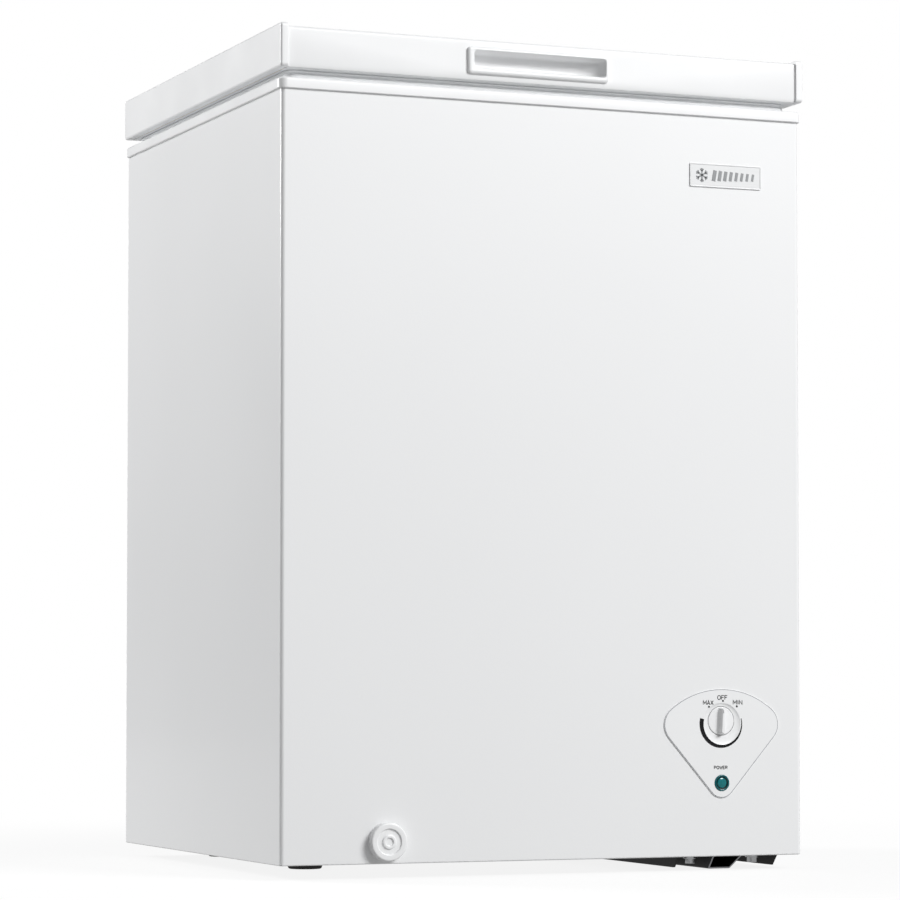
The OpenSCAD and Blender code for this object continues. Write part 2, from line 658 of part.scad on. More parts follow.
module lid_gasket() color("lightgray") difference() {
    x = side_x - gasket_in;
    y0 = front_y + gasket_in;
    y1 = rear_y - gasket_in;
    slab(-x, y0, x, y1, rim_top + 0.3, lid_z, 11);
    slab(-x + gasket_w, y0 + gasket_w, x - gasket_w, y1 - gasket_w, rim_top - 1, lid_z + 1, 3);
}

module lid_handle() color("white") difference() {
    union() {
        facing_front(lid_front - handle_proud, lid_front)
            polygon(round_rect(handle_x - handle_w / 2, handle_z - handle_h / 2, handle_x + handle_w / 2,
                handle_z + handle_h / 2, 4));
        pocket_space(1.5, lid_front, lid_front + handle_deep);
    }
    pocket_space(0, lid_front - 10, lid_front + handle_deep - 1.5);
}

// ---------------------------------------------------------------- basket

// One U of wire across the basket's depth, at x.
module cross_wire(x) {
    box(x - wire / 2, basket_front, basket_low, x + wire / 2, basket_rear, basket_low + wire);
    for (y = [basket_front, basket_rear - wire])
        box(x - wire / 2, y, basket_low, x + wire / 2, y + wire, basket_top);
}

module basket_ring(z) difference() {
    box(basket_x0, basket_front, z, basket_x1, basket_rear, z + wire);
    box(basket_x0 + wire, basket_front + wire, z - 1, basket_x1 - wire, basket_rear - wire, z + wire + 1);
}

hook_z = rim_top + 0.2;
hook_reach = 14;

module basket_hook(x) for (end = [[basket_front, -1], [basket_rear, 1]]) {
    y = end[0];
    s = end[1];
    box(x - 2, min(y, y - s * wire), basket_top - 10, x + 2, max(y, y - s * wire), hook_z + wire);
    box(x - 2, min(y, y + s * hook_reach), hook_z, x + 2, max(y, y + s * hook_reach), hook_z + wire);
}

module storage_basket() color("whitesmoke") {
    step = (basket_x1 - basket_x0 - wire) / 9;
    for (i = [0:9]) cross_wire(basket_x0 + wire / 2 + i * step);
    for (z = [basket_low, basket_low + 55, basket_low + 110, basket_top - wire]) basket_ring(z);
    for (i = [1:6]) let (y = basket_front + i * (basket_rear - basket_front) / 7) {
        box(basket_x0, y, basket_low, basket_x1, y + wire, basket_low + wire);
        for (x = [basket_x0, basket_x1 - wire]) box(x, y, basket_low, x + wire, y + wire, basket_top);
    }
    for (x = [basket_x0 + 30, basket_x1 - 30]) basket_hook(x);
}

module basket_grips() color("lightgray") {
    x = (basket_x0 + basket_x1) / 2;
    for (y = [basket_front - 3, basket_rear + 0.2])
        box(x - 30, y, basket_top - 8, x + 30, y + 2.8, basket_top + 6);
}

// ---------------------------------------------------------------- assembly

module on_lid() translate([0, hinge_y, hinge_z]) rotate([-lid_open, 0, 0])
    translate([0, -hinge_y, -hinge_z]) children();

cabinet_wrapper();
rear_panel();
base_panel();
inner_liner();
cabinet_foam();
top_frame();
compressor_tray();
compressor_shell();
terminal_cover();
compressor_mounts();
compressor_bolts();
filter_drier();
suction_line();
discharge_line();
condenser_coil();
evaporator_coil();
rear_grille();
grille_screws();
cord_gland();
feet();
foot_screws();
control_panel();
thermostat();
lamp_housing();
lamp_lens();
badge_plate();
drain_spout();
drain_tube();
wiring();
hinge_bracket_left();
hinge_bracket_right();
hinge_pins();
hinge_springs();
hinge_cover_left();
hinge_cover_right();
bracket_screws();
on_lid() lid_outer();
on_lid() lid_end_cap_left();
on_lid() lid_end_cap_right();
on_lid() lid_inner();
on_lid() lid_foam();
on_lid() lid_gasket();
on_lid() lid_handle();
on_lid() hinge_leaf_left();
on_lid() hinge_leaf_right();
on_lid() leaf_screws();
storage_basket();
basket_grips();
thermostat_knob();
drain_cap();
drain_plug();
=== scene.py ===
from math import acos, atan2, cos, degrees, hypot, pi, radians, sin, sqrt

import bpy
import bmesh
from bpy.props import FloatProperty, FloatVectorProperty, PointerProperty
from mathutils import Matrix, Vector
from mathutils.geometry import tessellate_polygon


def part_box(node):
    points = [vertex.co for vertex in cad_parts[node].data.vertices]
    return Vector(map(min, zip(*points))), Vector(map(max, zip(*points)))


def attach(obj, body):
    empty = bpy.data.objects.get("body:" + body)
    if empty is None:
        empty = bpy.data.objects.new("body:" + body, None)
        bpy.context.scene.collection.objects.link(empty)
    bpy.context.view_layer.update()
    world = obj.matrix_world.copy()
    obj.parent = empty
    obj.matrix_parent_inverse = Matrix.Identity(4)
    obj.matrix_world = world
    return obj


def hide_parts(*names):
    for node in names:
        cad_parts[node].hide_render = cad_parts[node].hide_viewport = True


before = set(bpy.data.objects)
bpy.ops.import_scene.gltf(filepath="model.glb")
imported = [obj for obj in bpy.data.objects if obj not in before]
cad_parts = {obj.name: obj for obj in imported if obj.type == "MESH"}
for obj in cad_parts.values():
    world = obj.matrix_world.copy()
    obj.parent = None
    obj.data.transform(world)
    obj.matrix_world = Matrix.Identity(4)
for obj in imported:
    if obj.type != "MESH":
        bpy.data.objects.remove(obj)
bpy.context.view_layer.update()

bl_info = {
    "name": "Compact chest freezer",
    "version": (1, 0, 0),
    "blender": (4, 5, 0),
    "location": "3D Viewport > Sidebar > Freezer",
    "description": "Builds a compact chest freezer round its engineering frame, one piece at a time",
    "category": "Add Mesh",
}

MM = 0.001


def box(node):
    """Lowest and highest corners of a CAD node in millimetres."""
    low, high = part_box(node)
    return low / MM, high / MM


CAB_LOW, CAB_HIGH = box("cabinet_wrapper")
RIM_LOW, RIM_HIGH = box("top_frame")
WELL_LOW, WELL_HIGH = box("inner_liner")
LID_LOW, LID_HIGH = box("lid_outer")
PANEL_LOW, PANEL_HIGH = box("control_panel")
KNOB_LOW, KNOB_HIGH = box("thermostat_knob")
LAMP_LOW, LAMP_HIGH = box("lamp_housing")
DRAIN_LOW, DRAIN_HIGH = box("drain_cap")
FRONT = CAB_LOW.y
REAR = box("rear_panel")[1].y
SIDE = CAB_HIGH.x
LINER_SKIN = 1.2
WELL_CORNER = 25


def middle(low, high):
    """Centre of a box, as X and Z seen from the front."""
    return (low.x + high.x) / 2, (low.z + high.z) / 2


# ---------------------------------------------------------------- outlines

def arc(cx, cy, r, start, end, n):
    """n + 1 points on an arc, angles in degrees."""
    turns = [radians(start + (end - start) * i / n) for i in range(n + 1)]
    return [(cx + r * cos(t), cy + r * sin(t)) for t in turns]


def round_rect(x0, y0, x1, y1, r, n=6, inset=0.0):
    """Anticlockwise outline with round corners, drawn inset from its edges."""
    x0, y0, x1, y1 = x0 + inset, y0 + inset, x1 - inset, y1 - inset
    r = max(r - inset, 0.02)
    return (arc(x1 - r, y1 - r, r, 0, 90, n) + arc(x0 + r, y1 - r, r, 90, 180, n)
            + arc(x0 + r, y0 + r, r, 180, 270, n) + arc(x1 - r, y0 + r, r, 270, 360, n))


def circle(cx, cy, r, n=48):
    """Anticlockwise circle without a repeated end point."""
    return arc(cx, cy, r, 0, 360, n)[:-1]


def edge_round(r, n=3):
    """Steps (inset, drop) of an edge rounded to radius r, from the side up to the face."""
    return [(r - r * cos(pi / 2 * i / n), r - r * sin(pi / 2 * i / n)) for i in range(n + 1)]


def front_view(outline, y):
    """An outline drawn in X and Z, standing at depth y and facing forward."""
    return [(x, y, z) for x, z in outline]


def side_view(outline, x):
    """An outline drawn in Y and Z, standing at width x."""
    return [(x, y, z) for y, z in outline]


def plan_view(outline, z):
    """An outline drawn in X and Y, lying at height z."""
    return [(x, y, z) for x, y in outline]


# ---------------------------------------------------------------- meshes

class Shape:
    """Points in millimetres and faces, gathered until they become one piece."""

    def __init__(self):
        self.points = []
        self.faces = []
        self.finishes = []

    def add(self, points, faces, finish=0):
        start = len(self.points)
        self.points += [tuple(p) for p in points]
        self.faces += [[start + i for i in face] for face in faces]
        self.finishes += [finish] * len(faces)
        return self

    def loft(self, rings, closed=True, caps=(True, True), finish=0, skip=(), finishes=None):
        """Skins rings of equal length. skip holds (ring, side) pairs that stay open."""
        count = len(rings[0])
        start = len(self.points)
        self.points += [tuple(p) for ring in rings for p in ring]
        for i in range(len(rings) - 1):
            for k in range(count if closed else count - 1):
                if (i, k) not in skip:
                    near, far = start + i * count, start + (i + 1) * count
                    after = (k + 1) % count
                    self.faces.append([near + k, near + after, far + after, far + k])
                    self.finishes.append(finishes[i] if finishes else finish)
        last = start + (len(rings) - 1) * count
        if caps[0]:
            self.faces.append([start + k for k in reversed(range(count))])
        if caps[1]:
            self.faces.append([last + k for k in range(count)])
        self.finishes += [finish] * sum(map(bool, caps))
        return self

    def fill(self, outer, holes=()):
        """A flat face with holes, from outlines of points in space."""
        loops = [[Vector(p) for p in loop] for loop in [outer, *holes]]
        flat = [p for loop in loops for p in loop]
        return self.add(flat, [list(t) for t in tessellate_polygon(loops)])

    def spin(self, profile, centre, axis="y", sides=64, finishes=None, caps=(True, True)):
        """Turns a profile of (radius, distance) pairs about an axis through centre."""
        rings = []
        for r, d in profile:
            ring = []
            for k in range(sides):
                a = 2 * pi * k / sides
                u, v = max(r, 0.001) * cos(a), max(r, 0.001) * sin(a)
                spot = {"y": (u, d, v), "z": (u, v, d)}[axis]
                ring.append(tuple(Vector(centre) + Vector(spot)))
            rings.append(ring)
        return self.loft(rings, finishes=finishes, caps=caps)

    def tube(self, path, r, sides=10, closed=False):
        """A round wire along a path of points."""
        path = [Vector(p) for p in path]
        last = len(path) - 1
        rings = []
        side = None
        for i, p in enumerate(path):
            before = path[i - 1] if i or closed else p
            after = path[(i + 1) % len(path)] if i < last or closed else p
            heading = (after - before).normalized()
            if side is None:
                side = heading.orthogonal()
            side = (side - heading * side.dot(heading)).normalized()
            across = heading.cross(side)
            turns = [2 * pi * k / sides for k in range(sides)]
            rings.append([p + r * (cos(t) * side + sin(t) * across) for t in turns])
        if closed:
            rings.append(rings[0])
        return self.loft(rings, caps=(not closed, not closed))

    def block(self, low, high, r):
        """A brick whose edges are rounded to radius r in plan and at both ends."""
        levels = [(i, low[2] + d) for i, d in reversed(edge_round(r))]
        levels += [(i, high[2] - d) for i, d in edge_round(r)]
        return self.loft([plan_view(round_rect(low[0], low[1], high[0], high[1], r, 3, i), z)
                          for i, z in levels])

    def moved(self, matrix):
        """The same shape through a 4x4 matrix."""
        self.points = [tuple(matrix @ Vector(p)) for p in self.points]
        return self


def piece(name, shape, materials, body, replaced=(), smooth=35, weighted=True):
    """Turns a shape into a finished piece that rides on a body."""
    mesh = bpy.data.meshes.new(name)
    mesh.from_pydata([Vector(p) * MM for p in shape.points], [], shape.faces)
    mesh.validate()
    for material in materials:
        mesh.materials.append(material)
    mesh.polygons.foreach_set("material_index", shape.finishes[:len(mesh.polygons)])
    built = bmesh.new()
    built.from_mesh(mesh)
    bmesh.ops.remove_doubles(built, verts=built.verts, dist=0.004 * MM)
    bmesh.ops.dissolve_degenerate(built, edges=built.edges, dist=0.002 * MM)
    bmesh.ops.recalc_face_normals(built, faces=built.faces)
    built.to_mesh(mesh)
    built.free()
    mesh.shade_smooth()
    mesh.set_sharp_from_angle(angle=radians(smooth))
    obj = bpy.data.objects.new(name, mesh)
    bpy.context.scene.collection.objects.link(obj)
    if weighted:
        even = obj.modifiers.new("Even shading", "WEIGHTED_NORMAL")
        even.keep_sharp = True
    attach(obj, body)
    if replaced:
        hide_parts(*replaced)
    return obj


# ---------------------------------------------------------------- shader maths

class Value:
    """A node's output, so that shader maths can be written as plain expressions."""

    def __init__(self, graph, socket):
        self.graph = graph
        self.socket = socket

    def maths(self, operation, first, second):
        return self.graph.node("ShaderNodeMath", {"operation": operation}, {0: first, 1: second})

    def __add__(self, other):
        return self.maths("ADD", self, other)

    def __radd__(self, other):
        return self.maths("ADD", other, self)

    def __sub__(self, other):
        return self.maths("SUBTRACT", self, other)

    def __rsub__(self, other):
        return self.maths("SUBTRACT", other, self)

    def __mul__(self, other):
        return self.maths("MULTIPLY", self, other)

    def __rmul__(self, other):
        return self.maths("MULTIPLY", other, self)


class Graph:
    """One node tree under construction."""

    def __init__(self, tree):
        self.tree = tree
        tree.nodes.clear()

    def node(self, kind, settings=None, inputs=None, output=0):
        """Adds a node: its settings first, then the values or links of its sockets."""
        made = self.tree.nodes.new(kind)
        for key, value in (settings or {}).items():
            if key == "stops":
                ramp = made.color_ramp
                while len(ramp.elements) < len(value):
                    ramp.elements.new(0.5)
                for stop, (place, colour) in zip(ramp.elements, value):
                    stop.position = place
                    stop.color = (*colour[:3], 1)
            else:
                setattr(made, key, value)
        for key, value in (inputs or {}).items():
            if isinstance(value, Value):
                self.tree.links.new(value.socket, made.inputs[key])
            else:
                made.inputs[key].default_value = value
        return Value(self, made.outputs[output]) if made.outputs else None

    def place(self):
        """Position on the piece, in metres, fixed to the material."""
        return self.node("ShaderNodeTexCoord", output="Object")

    def noise(self, scale, detail=3.0, stretch=None):
        spot = self.place()
        if stretch:
            spot = self.node("ShaderNodeMapping", {}, {"Vector": spot, "Scale": stretch})
        return self.node("ShaderNodeTexNoise", {}, {"Vector": spot, "Scale": scale, "Detail": detail})

    def blend(self, factor, first, second):
        """A colour between two colours."""
        return self.node("ShaderNodeMix", {"data_type": "RGBA"}, {0: factor, 6: first, 7: second}, 2)

    def ramp(self, factor, stops):
        return self.node("ShaderNodeValToRGB", {"stops": stops}, {"Fac": factor})

    def bump(self, height, distance, strength=1.0):
        sockets = {"Height": height, "Distance": distance, "Strength": strength}
        return self.node("ShaderNodeBump", {}, sockets)

    def surface(self, **sockets):
        """Ends the graph in one principled shader."""
        inputs = {key.replace("_", " "): value for key, value in sockets.items()}
        shader = self.node("ShaderNodeBsdfPrincipled", {}, inputs)
        self.node("ShaderNodeOutputMaterial", {}, {"Surface": shader})


def rgb(value, lift=0.0):
    """A colour with full alpha, made a little lighter or darker."""
    return (*[min(max(c * (1 + lift), 0), 1) for c in value[:3]], 1)


FINISHES = {}


def finish(name, make):
    """The named material, made once."""
    if name not in FINISHES:
        material = bpy.data.materials.new(name)
        material.use_nodes = True
        make(Graph(material.node_tree))
        FINISHES[name] = material
    return FINISHES[name]


def painted(colour, roughness=0.32, peel=0.00004, coat=0.25):
    """Baked enamel: faint orange peel and slow drift in tone and gloss."""
    def make(g):
        drift = g.noise(3.2, 2.0)
        peel_height = g.noise(420, 2.0)
        g.surface(Base_Color=g.blend(drift, rgb(colour, -0.012), rgb(colour, 0.012)),
                  Roughness=roughness + 0.06 * (drift - 0.5), Normal=g.bump(peel_height, peel),
                  Coat_Weight=coat, Coat_Roughness=0.12)
    return make


def moulded(colour, roughness=0.36, grain=0.00003, scale=900.0, specular=0.5, mottle=0.02):
    """Moulded plastic: a fine grain and soft flow marks."""
    def make(g):
        flow = g.noise(14, 3.0)
        grain_height = g.noise(scale, 3.0)
        g.surface(Base_Color=g.blend(flow, rgb(colour, -mottle), rgb(colour, mottle)),
                  Roughness=roughness + 0.10 * (flow - 0.5), Normal=g.bump(grain_height, grain),
                  Specular_IOR_Level=specular)
    return make


def plated(colour, roughness=0.3, streak=(1, 1, 12), scale=160.0):
    """Plated metal: fine drawing lines and clouding."""
    def make(g):
        lines = g.noise(scale, 3.0, streak)
        cloud = g.noise(24, 3.0)
        g.surface(Base_Color=g.blend(cloud, rgb(colour, -0.14), rgb(colour, 0.06)), Metallic=1.0,
                  Roughness=roughness + 0.16 * (lines - 0.5), Normal=g.bump(lines, 0.00002))
    return make


def spangled(g):
    """Hot-dip zinc: crystals of slightly different grey."""
    crystals = g.node("ShaderNodeTexVoronoi", {}, {"Vector": g.place(), "Scale": 170.0}, "Color")
    tone = g.node("ShaderNodeSeparateColor", {}, {"Color": crystals})
    colour = g.ramp(tone, [(0.0, (0.52, 0.53, 0.54)), (1.0, (0.60, 0.61, 0.62))])
    g.surface(Base_Color=colour, Metallic=0.85, Roughness=0.42 + 0.08 * tone,
              Normal=g.bump(tone, 0.00002))


def stucco(colour):
    """Formed liner sheet: small soft cells from the embossing rolls."""
    def make(g):
        cells = g.node("ShaderNodeTexVoronoi", {"feature": "SMOOTH_F1"},
                       {"Vector": g.place(), "Scale": 260.0})
        drift = g.noise(6, 2.0)
        g.surface(Base_Color=g.blend(drift, rgb(colour, -0.02), rgb(colour, 0.01)),
                  Roughness=0.34 + 0.1 * drift, Normal=g.bump(cells, 0.00012, 0.5))
    return make


def foamed(g):
    """Expanded foam: open cells and yellowing."""
    cells = g.node("ShaderNodeTexVoronoi", {}, {"Vector": g.place(), "Scale": 700.0})
    drift = g.noise(9)
    g.surface(Base_Color=g.blend(drift, (0.62, 0.48, 0.22, 1), (0.75, 0.62, 0.36, 1)), Roughness=0.9,
              Normal=g.bump(cells, 0.0004))


def brushed(g):
    """Badge plate: fine horizontal brushing."""
    lines = g.noise(900, 2.0, (0.02, 1, 1))
    g.surface(Base_Color=g.blend(lines, (0.56, 0.565, 0.57, 1), (0.66, 0.665, 0.67, 1)), Metallic=0.25,
              Roughness=0.36 + 0.2 * lines, Normal=g.bump(lines, 0.00002))


def lamp_glass(colour):
    """Tinted lens with fine facets inside."""
    def make(g):
        facets = g.node("ShaderNodeTexVoronoi", {}, {"Vector": g.place(), "Scale": 1400.0})
        g.surface(Base_Color=g.blend(facets, rgb(colour, -0.45), rgb(colour, 0.15)),
                  Roughness=0.08 + 0.06 * facets, Coat_Weight=0.3, Coat_Roughness=0.03)
    return make


def white_enamel():
    return finish("white_enamel", painted(bpy.context.scene.freezer_cabinet.paint))


def white_trim():
    return finish("white_trim", moulded(bpy.context.scene.freezer_lid.plastic, 0.30, 0.000015, 700))


def liner_sheet():
    return finish("liner_sheet", stucco(bpy.context.scene.freezer_cabinet.liner))


def dark_print():
    ink = bpy.context.scene.freezer_controls.print_colour
    return finish("dark_print", moulded(ink, 0.6, 0.00001, 900, 0.2))


def black_enamel():
    return finish("black_enamel", painted((0.006, 0.006, 0.007), 0.5, 0.00008, 0.05))


# Light metal for the tray's cut edges: a painted highlight along the sheet edges.
def cut_edge_highlight():
    return finish("cut_edge_highlight", plated((0.42, 0.42, 0.44), 0.4))


def black_plastic():
    return finish("black_plastic", moulded((0.02, 0.02, 0.022), 0.45, 0.00004, 600))


def dark_rubber():
    return finish("dark_rubber", moulded((0.025, 0.024, 0.023), 0.7, 0.00006, 450, 0.3, 0.12))


def zinc():
    return finish("zinc_plate", plated((0.66, 0.67, 0.68), 0.28))


def galvanised():
    return finish("galvanised_sheet", spangled)


# ---------------------------------------------------------------- settings

def length(name, about, default):
    return FloatProperty(name=name, description=about, default=default, unit="LENGTH", precision=4)


def colour(name, about, default):
    return FloatVectorProperty(name=name, description=about, default=default, subtype="COLOR",
                               size=3, min=0.0, max=1.0)


class FreezerCabinetSettings(bpy.types.PropertyGroup):
    corner: length("Corner radius", "Radius of the cabinet's upright front corners", 0.0042)
    rim_edge: length("Rim edge radius", "Rounding of the top frame's outer edges", 0.0028)
    liner_fold: length("Liner fold radius", "Rounding of the liner's floor and step", 0.006)
    paint: colour("Paint", "Enamel of the cabinet", (0.86, 0.865, 0.87))
    liner: colour("Liner", "Colour of the inner liner", (0.84, 0.85, 0.86))


class FreezerLidSettings(bpy.types.PropertyGroup):
    skirt_edge: length("Skirt edge radius", "Rounding of the lid's long edges", 0.0035)
    cap_edge: length("End cap edge radius", "Rounding of the end caps' outer edges", 0.0024)
    chamfer: length("Skirt chamfer", "Inward slope at the foot of the front skirt", 0.0035)
    handle_edge: length("Handle edge radius", "Rounding of the handle bezel", 0.0030)
    plastic: colour("Plastic", "Moulded lid parts and trim", (0.87, 0.875, 0.88))
    gasket: colour("Gasket", "Magnetic door gasket", (0.90, 0.91, 0.92))


class FreezerControlSettings(bpy.types.PropertyGroup):
    mark_radius: length("Scale radius", "Radius of the tapered arc round the dial", 0.0225)
    dot: length("Dot size", "Radius of one dot", 0.0011)
    arc_wide: length("Arc, wide end", "Width of the tapered arc at its wide end", 0.0047)
    arc_narrow: length("Arc, narrow end", "Width of the tapered arc at its narrow end", 0.0008)
    letters: length("Letter height", "Height of the capitals round the dial", 0.0040)
    print_colour: colour("Print", "Ink of the arc, dots and words", (0.004, 0.004, 0.005))
    # The outline colour is painted shade: it greys the shallow groove near the panel's edge.
    outline: colour("Outline", "Groove round the control panel", (0.33, 0.34, 0.36))
    lamp: colour("Lamp", "Lens of the power lamp", (0.0, 0.185, 0.200))
    bezel: colour("Lamp bezel", "Ring round the lamp", (0.0, 0.105, 0.120))


class FreezerFittingSettings(bpy.types.PropertyGroup):
    wire: length("Basket wire", "Radius of the basket's wire", 0.0016)
    hub: length("Drain cap hub", "Radius of the drain cap's raised hub", 0.0068)
    basket: colour("Basket coating", "Plastic coat of the basket", (0.80, 0.81, 0.82))
    grip: colour("Basket grips", "Moulded grips on the basket", (0.30, 0.36, 0.42))


# ---------------------------------------------------------------- stage

class FREEZER_OT_stage(bpy.types.Operator):
    """Camera, floor, studio light and plain surroundings"""
    bl_idname = "freezer.stage"
    bl_label = "Stage"

    LENS = 137.77
    RISE = 0.0709
    SPOT = (-1.3902, -3.3470, 0.2003)
    TURN, TILT = 22.55, 2.6
    AMBIENT = 0.38
    BOUNCE = 0.42

    def camera(self, scene):
        data = bpy.data.cameras.new("camera")
        data.lens = self.LENS
        data.sensor_width = 36
        data.shift_y = self.RISE
        data.clip_end = 40
        data.dof.use_dof = False
        camera = bpy.data.objects.new("camera", data)
        camera.rotation_euler = (radians(90 + self.TILT), 0, radians(-self.TURN))
        camera.location = self.SPOT
        scene.collection.objects.link(camera)
        scene.camera = camera

    def floor(self, scene):
        shape = Shape()
        rings = [plan_view(circle(0, 0, r, 96), -0.3) for r in (1, 300, 700, 1500, 3000, 6000)]
        shape.loft(rings, caps=(True, False))
        mesh = bpy.data.meshes.new("studio_floor")
        mesh.from_pydata([Vector(p) * MM for p in shape.points], [], shape.faces)

        def make(g):
            away = g.node("ShaderNodeVectorMath", {"operation": "LENGTH"}, {0: g.place()}, "Value")
            fade = g.node("ShaderNodeMapRange", {"interpolation_type": "SMOOTHSTEP"},
                          {"Value": away, "From Min": 0.45, "From Max": 1.3, "To Min": 0.86, "To Max": 1.0})
            paper = g.node("ShaderNodeBsdfPrincipled", {}, {
                "Base Color": g.blend(g.noise(60, 3.0), (0.90, 0.90, 0.90, 1), (0.93, 0.93, 0.93, 1)),
                "Roughness": 0.9, "Specular IOR Level": 0.1})
            glow = g.node("ShaderNodeEmission", {}, {"Color": (1, 1, 1, 1), "Strength": 1.0})
            shown = g.node("ShaderNodeMixShader", {}, {0: fade, 1: paper, 2: glow})
            bounce = g.node("ShaderNodeEmission", {}, {"Color": (1, 1, 1, 1), "Strength": self.BOUNCE})
            seen = g.node("ShaderNodeLightPath", output="Is Camera Ray")
            g.node("ShaderNodeOutputMaterial", {},
                   {"Surface": g.node("ShaderNodeMixShader", {}, {0: seen, 1: bounce, 2: shown})})
        mesh.materials.append(finish("studio_floor", make))
        floor = bpy.data.objects.new("studio_floor", mesh)
        scene.collection.objects.link(floor)

    def world(self, scene):
        world = bpy.data.worlds.new("studio")
        scene.world = world
        world.use_nodes = True
        g = Graph(world.node_tree)
        way = g.node("ShaderNodeTexCoord", output="Generated")

        def patch(towards, edge, core):
            """A soft round patch of the surroundings, 1 in its core and 0 past its edge."""
            near = g.node("ShaderNodeVectorMath", {"operation": "DOT_PRODUCT"},
                          {0: way, 1: tuple(Vector(towards).normalized())}, "Value")
            return g.node("ShaderNodeMapRange", {"interpolation_type": "SMOOTHSTEP"},
                          {"Value": near, "From Min": edge, "From Max": core})
        flag = patch((0.385, 0.92, 0.10), 0.45, 0.80)
        card = patch((-0.78, -0.62, 0.0), 0.55, 0.85)
        open_sky = g.blend(card, (0.97, 0.985, 1.0, 1), (0.03, 0.03, 0.035, 1))
        studio = g.node("ShaderNodeBackground", {}, {
            "Color": g.blend(flag, open_sky, (0.06, 0.06, 0.065, 1)), "Strength": self.AMBIENT})
        blank = g.node("ShaderNodeBackground", {}, {"Color": (1, 1, 1, 1), "Strength": 1.0})
        seen = g.node("ShaderNodeLightPath", output="Is Camera Ray")
        mixed = g.node("ShaderNodeMixShader", {}, {0: seen, 1: studio, 2: blank})
        g.node("ShaderNodeOutputWorld", {}, {"Surface": mixed})

    def lamp(self, scene, name, spot, target, size, power):
        data = bpy.data.lights.new(name, "AREA")
        data.shape = "RECTANGLE"
        data.size, data.size_y = size
        data.energy = power
        light = bpy.data.objects.new(name, data)
        light.location = spot
        light.rotation_euler = (Vector(target) - Vector(spot)).to_track_quat("-Z", "Y").to_euler()
        light.visible_camera = False
        scene.collection.objects.link(light)

    def execute(self, context):
        scene = context.scene
        scene.view_settings.view_transform = "Standard"
        self.camera(scene)
        self.floor(scene)
        self.world(scene)
        self.lamp(scene, "key_light", (2.25, -3.9, 3.0), (0.0, -0.1, 0.4), (2.2, 1.7), 224)
        self.lamp(scene, "side_light", (-3.0, 2.6, 1.9), (-0.2, 0.0, 0.4), (1.5, 1.5), 150)
        return {"FINISHED"}


# ---------------------------------------------------------------- cabinet

def swept_path(x0, y0, x1, y1, r, rear_r, inset):
    """Plan path round the cabinet from the rear-left return to the rear-right return."""
    x0, y0, x1, y1 = x0 + inset, y0 + inset, x1 - inset, y1 - inset
    r, rear_r = max(r - inset, 0.05), max(rear_r - inset, 0.05)
    flange = 14 - inset
    return ([(x0 + flange, y1)] + arc(x0 + rear_r, y1 - rear_r, rear_r, 90, 180, 3)
            + arc(x0 + r, y0 + r, r, 180, 270, 8) + arc(x1 - r, y0 + r, r, 270, 360, 8)
            + arc(x1 - rear_r, y1 - rear_r, rear_r, 0, 90, 3) + [(x1 - flange, y1)])


class FREEZER_OT_cabinet(bpy.types.Operator):
    """Painted steel wrapper with its turned-in foot, front openings and folded rear edges"""
    bl_idname = "freezer.cabinet"
    bl_label = "Cabinet"

    SHEET = 0.8
    FRONT_SIDE = 13

    def execute(self, context):
        s = context.scene.freezer_cabinet
        r = s.corner / MM
        foot, top = CAB_LOW.z, CAB_HIGH.z
        section = [(0, top), (0, foot + 1.6), (0.2, foot + 0.8), (0.8, foot + 0.2), (1.6, foot),
                   (13, foot), (13, foot + self.SHEET), (1.8, foot + self.SHEET),
                   (self.SHEET, foot + 1.8), (self.SHEET, top)]
        rings = [plan_view(swept_path(-SIDE, FRONT, SIDE, REAR, r, 1.5, i), z) for i, z in section]
        walls = {(0, self.FRONT_SIDE), (8, self.FRONT_SIDE)}
        shape = Shape().loft(rings + [rings[0]], closed=False, caps=(False, False), skip=walls)
        k = self.FRONT_SIDE
        dial = middle(PANEL_LOW, PANEL_HIGH)[0], middle(KNOB_LOW, KNOB_HIGH)[1]
        for upper, bottom in ((rings[0], rings[1]), (rings[-1], rings[8])):
            y = upper[k][1]
            outer = [bottom[k], bottom[k + 1], upper[k + 1], upper[k]]
            holes = [front_view(circle(*dial, 22), y),
                     front_view(circle(*middle(LAMP_LOW, LAMP_HIGH), 7.5, 32), y),
                     front_view(circle(*middle(DRAIN_LOW, DRAIN_HIGH), 10, 32), y)]
            shape.fill(outer, holes)
        piece("cabinet_shell", shape, [white_enamel()], "cabinet", ["cabinet_wrapper"], 30)
        return {"FINISHED"}


class FREEZER_OT_rim(bpy.types.Operator):
    """Moulded top frame between the cabinet and the liner"""
    bl_idname = "freezer.rim"
    bl_label = "Top frame"

    def execute(self, context):
        edge = context.scene.freezer_cabinet.rim_edge / MM
        low, high = RIM_LOW, RIM_HIGH

        def outer(inset, z):
            return plan_view(round_rect(low.x, low.y, high.x, high.y, 8, 8, inset), z)

        def inner(inset, z):
            return plan_view(round_rect(WELL_LOW.x, WELL_LOW.y, WELL_HIGH.x, WELL_HIGH.y,
                                        WELL_CORNER + LINER_SKIN, 8, inset + LINER_SKIN), z)
        rings = [outer(3.4, low.z), outer(1.0, low.z)]
        rings += [outer(i, low.z + d) for i, d in reversed(edge_round(1.0))]
        rings += [outer(i, high.z - d) for i, d in edge_round(edge)]
        rings += [outer(13, high.z), outer(14, high.z - 0.5), outer(15.2, high.z - 0.5), outer(16.2, high.z)]
        rings += [inner(-i, high.z - d) for i, d in reversed([(2.4 - a, b) for a, b in edge_round(2.4)])]
        rings += [inner(0, low.z)]
        shape = Shape().loft(rings, caps=(False, False))
        piece("top_frame_moulding", shape, [white_trim()], "cabinet", ["top_frame"], 40)
        return {"FINISHED"}


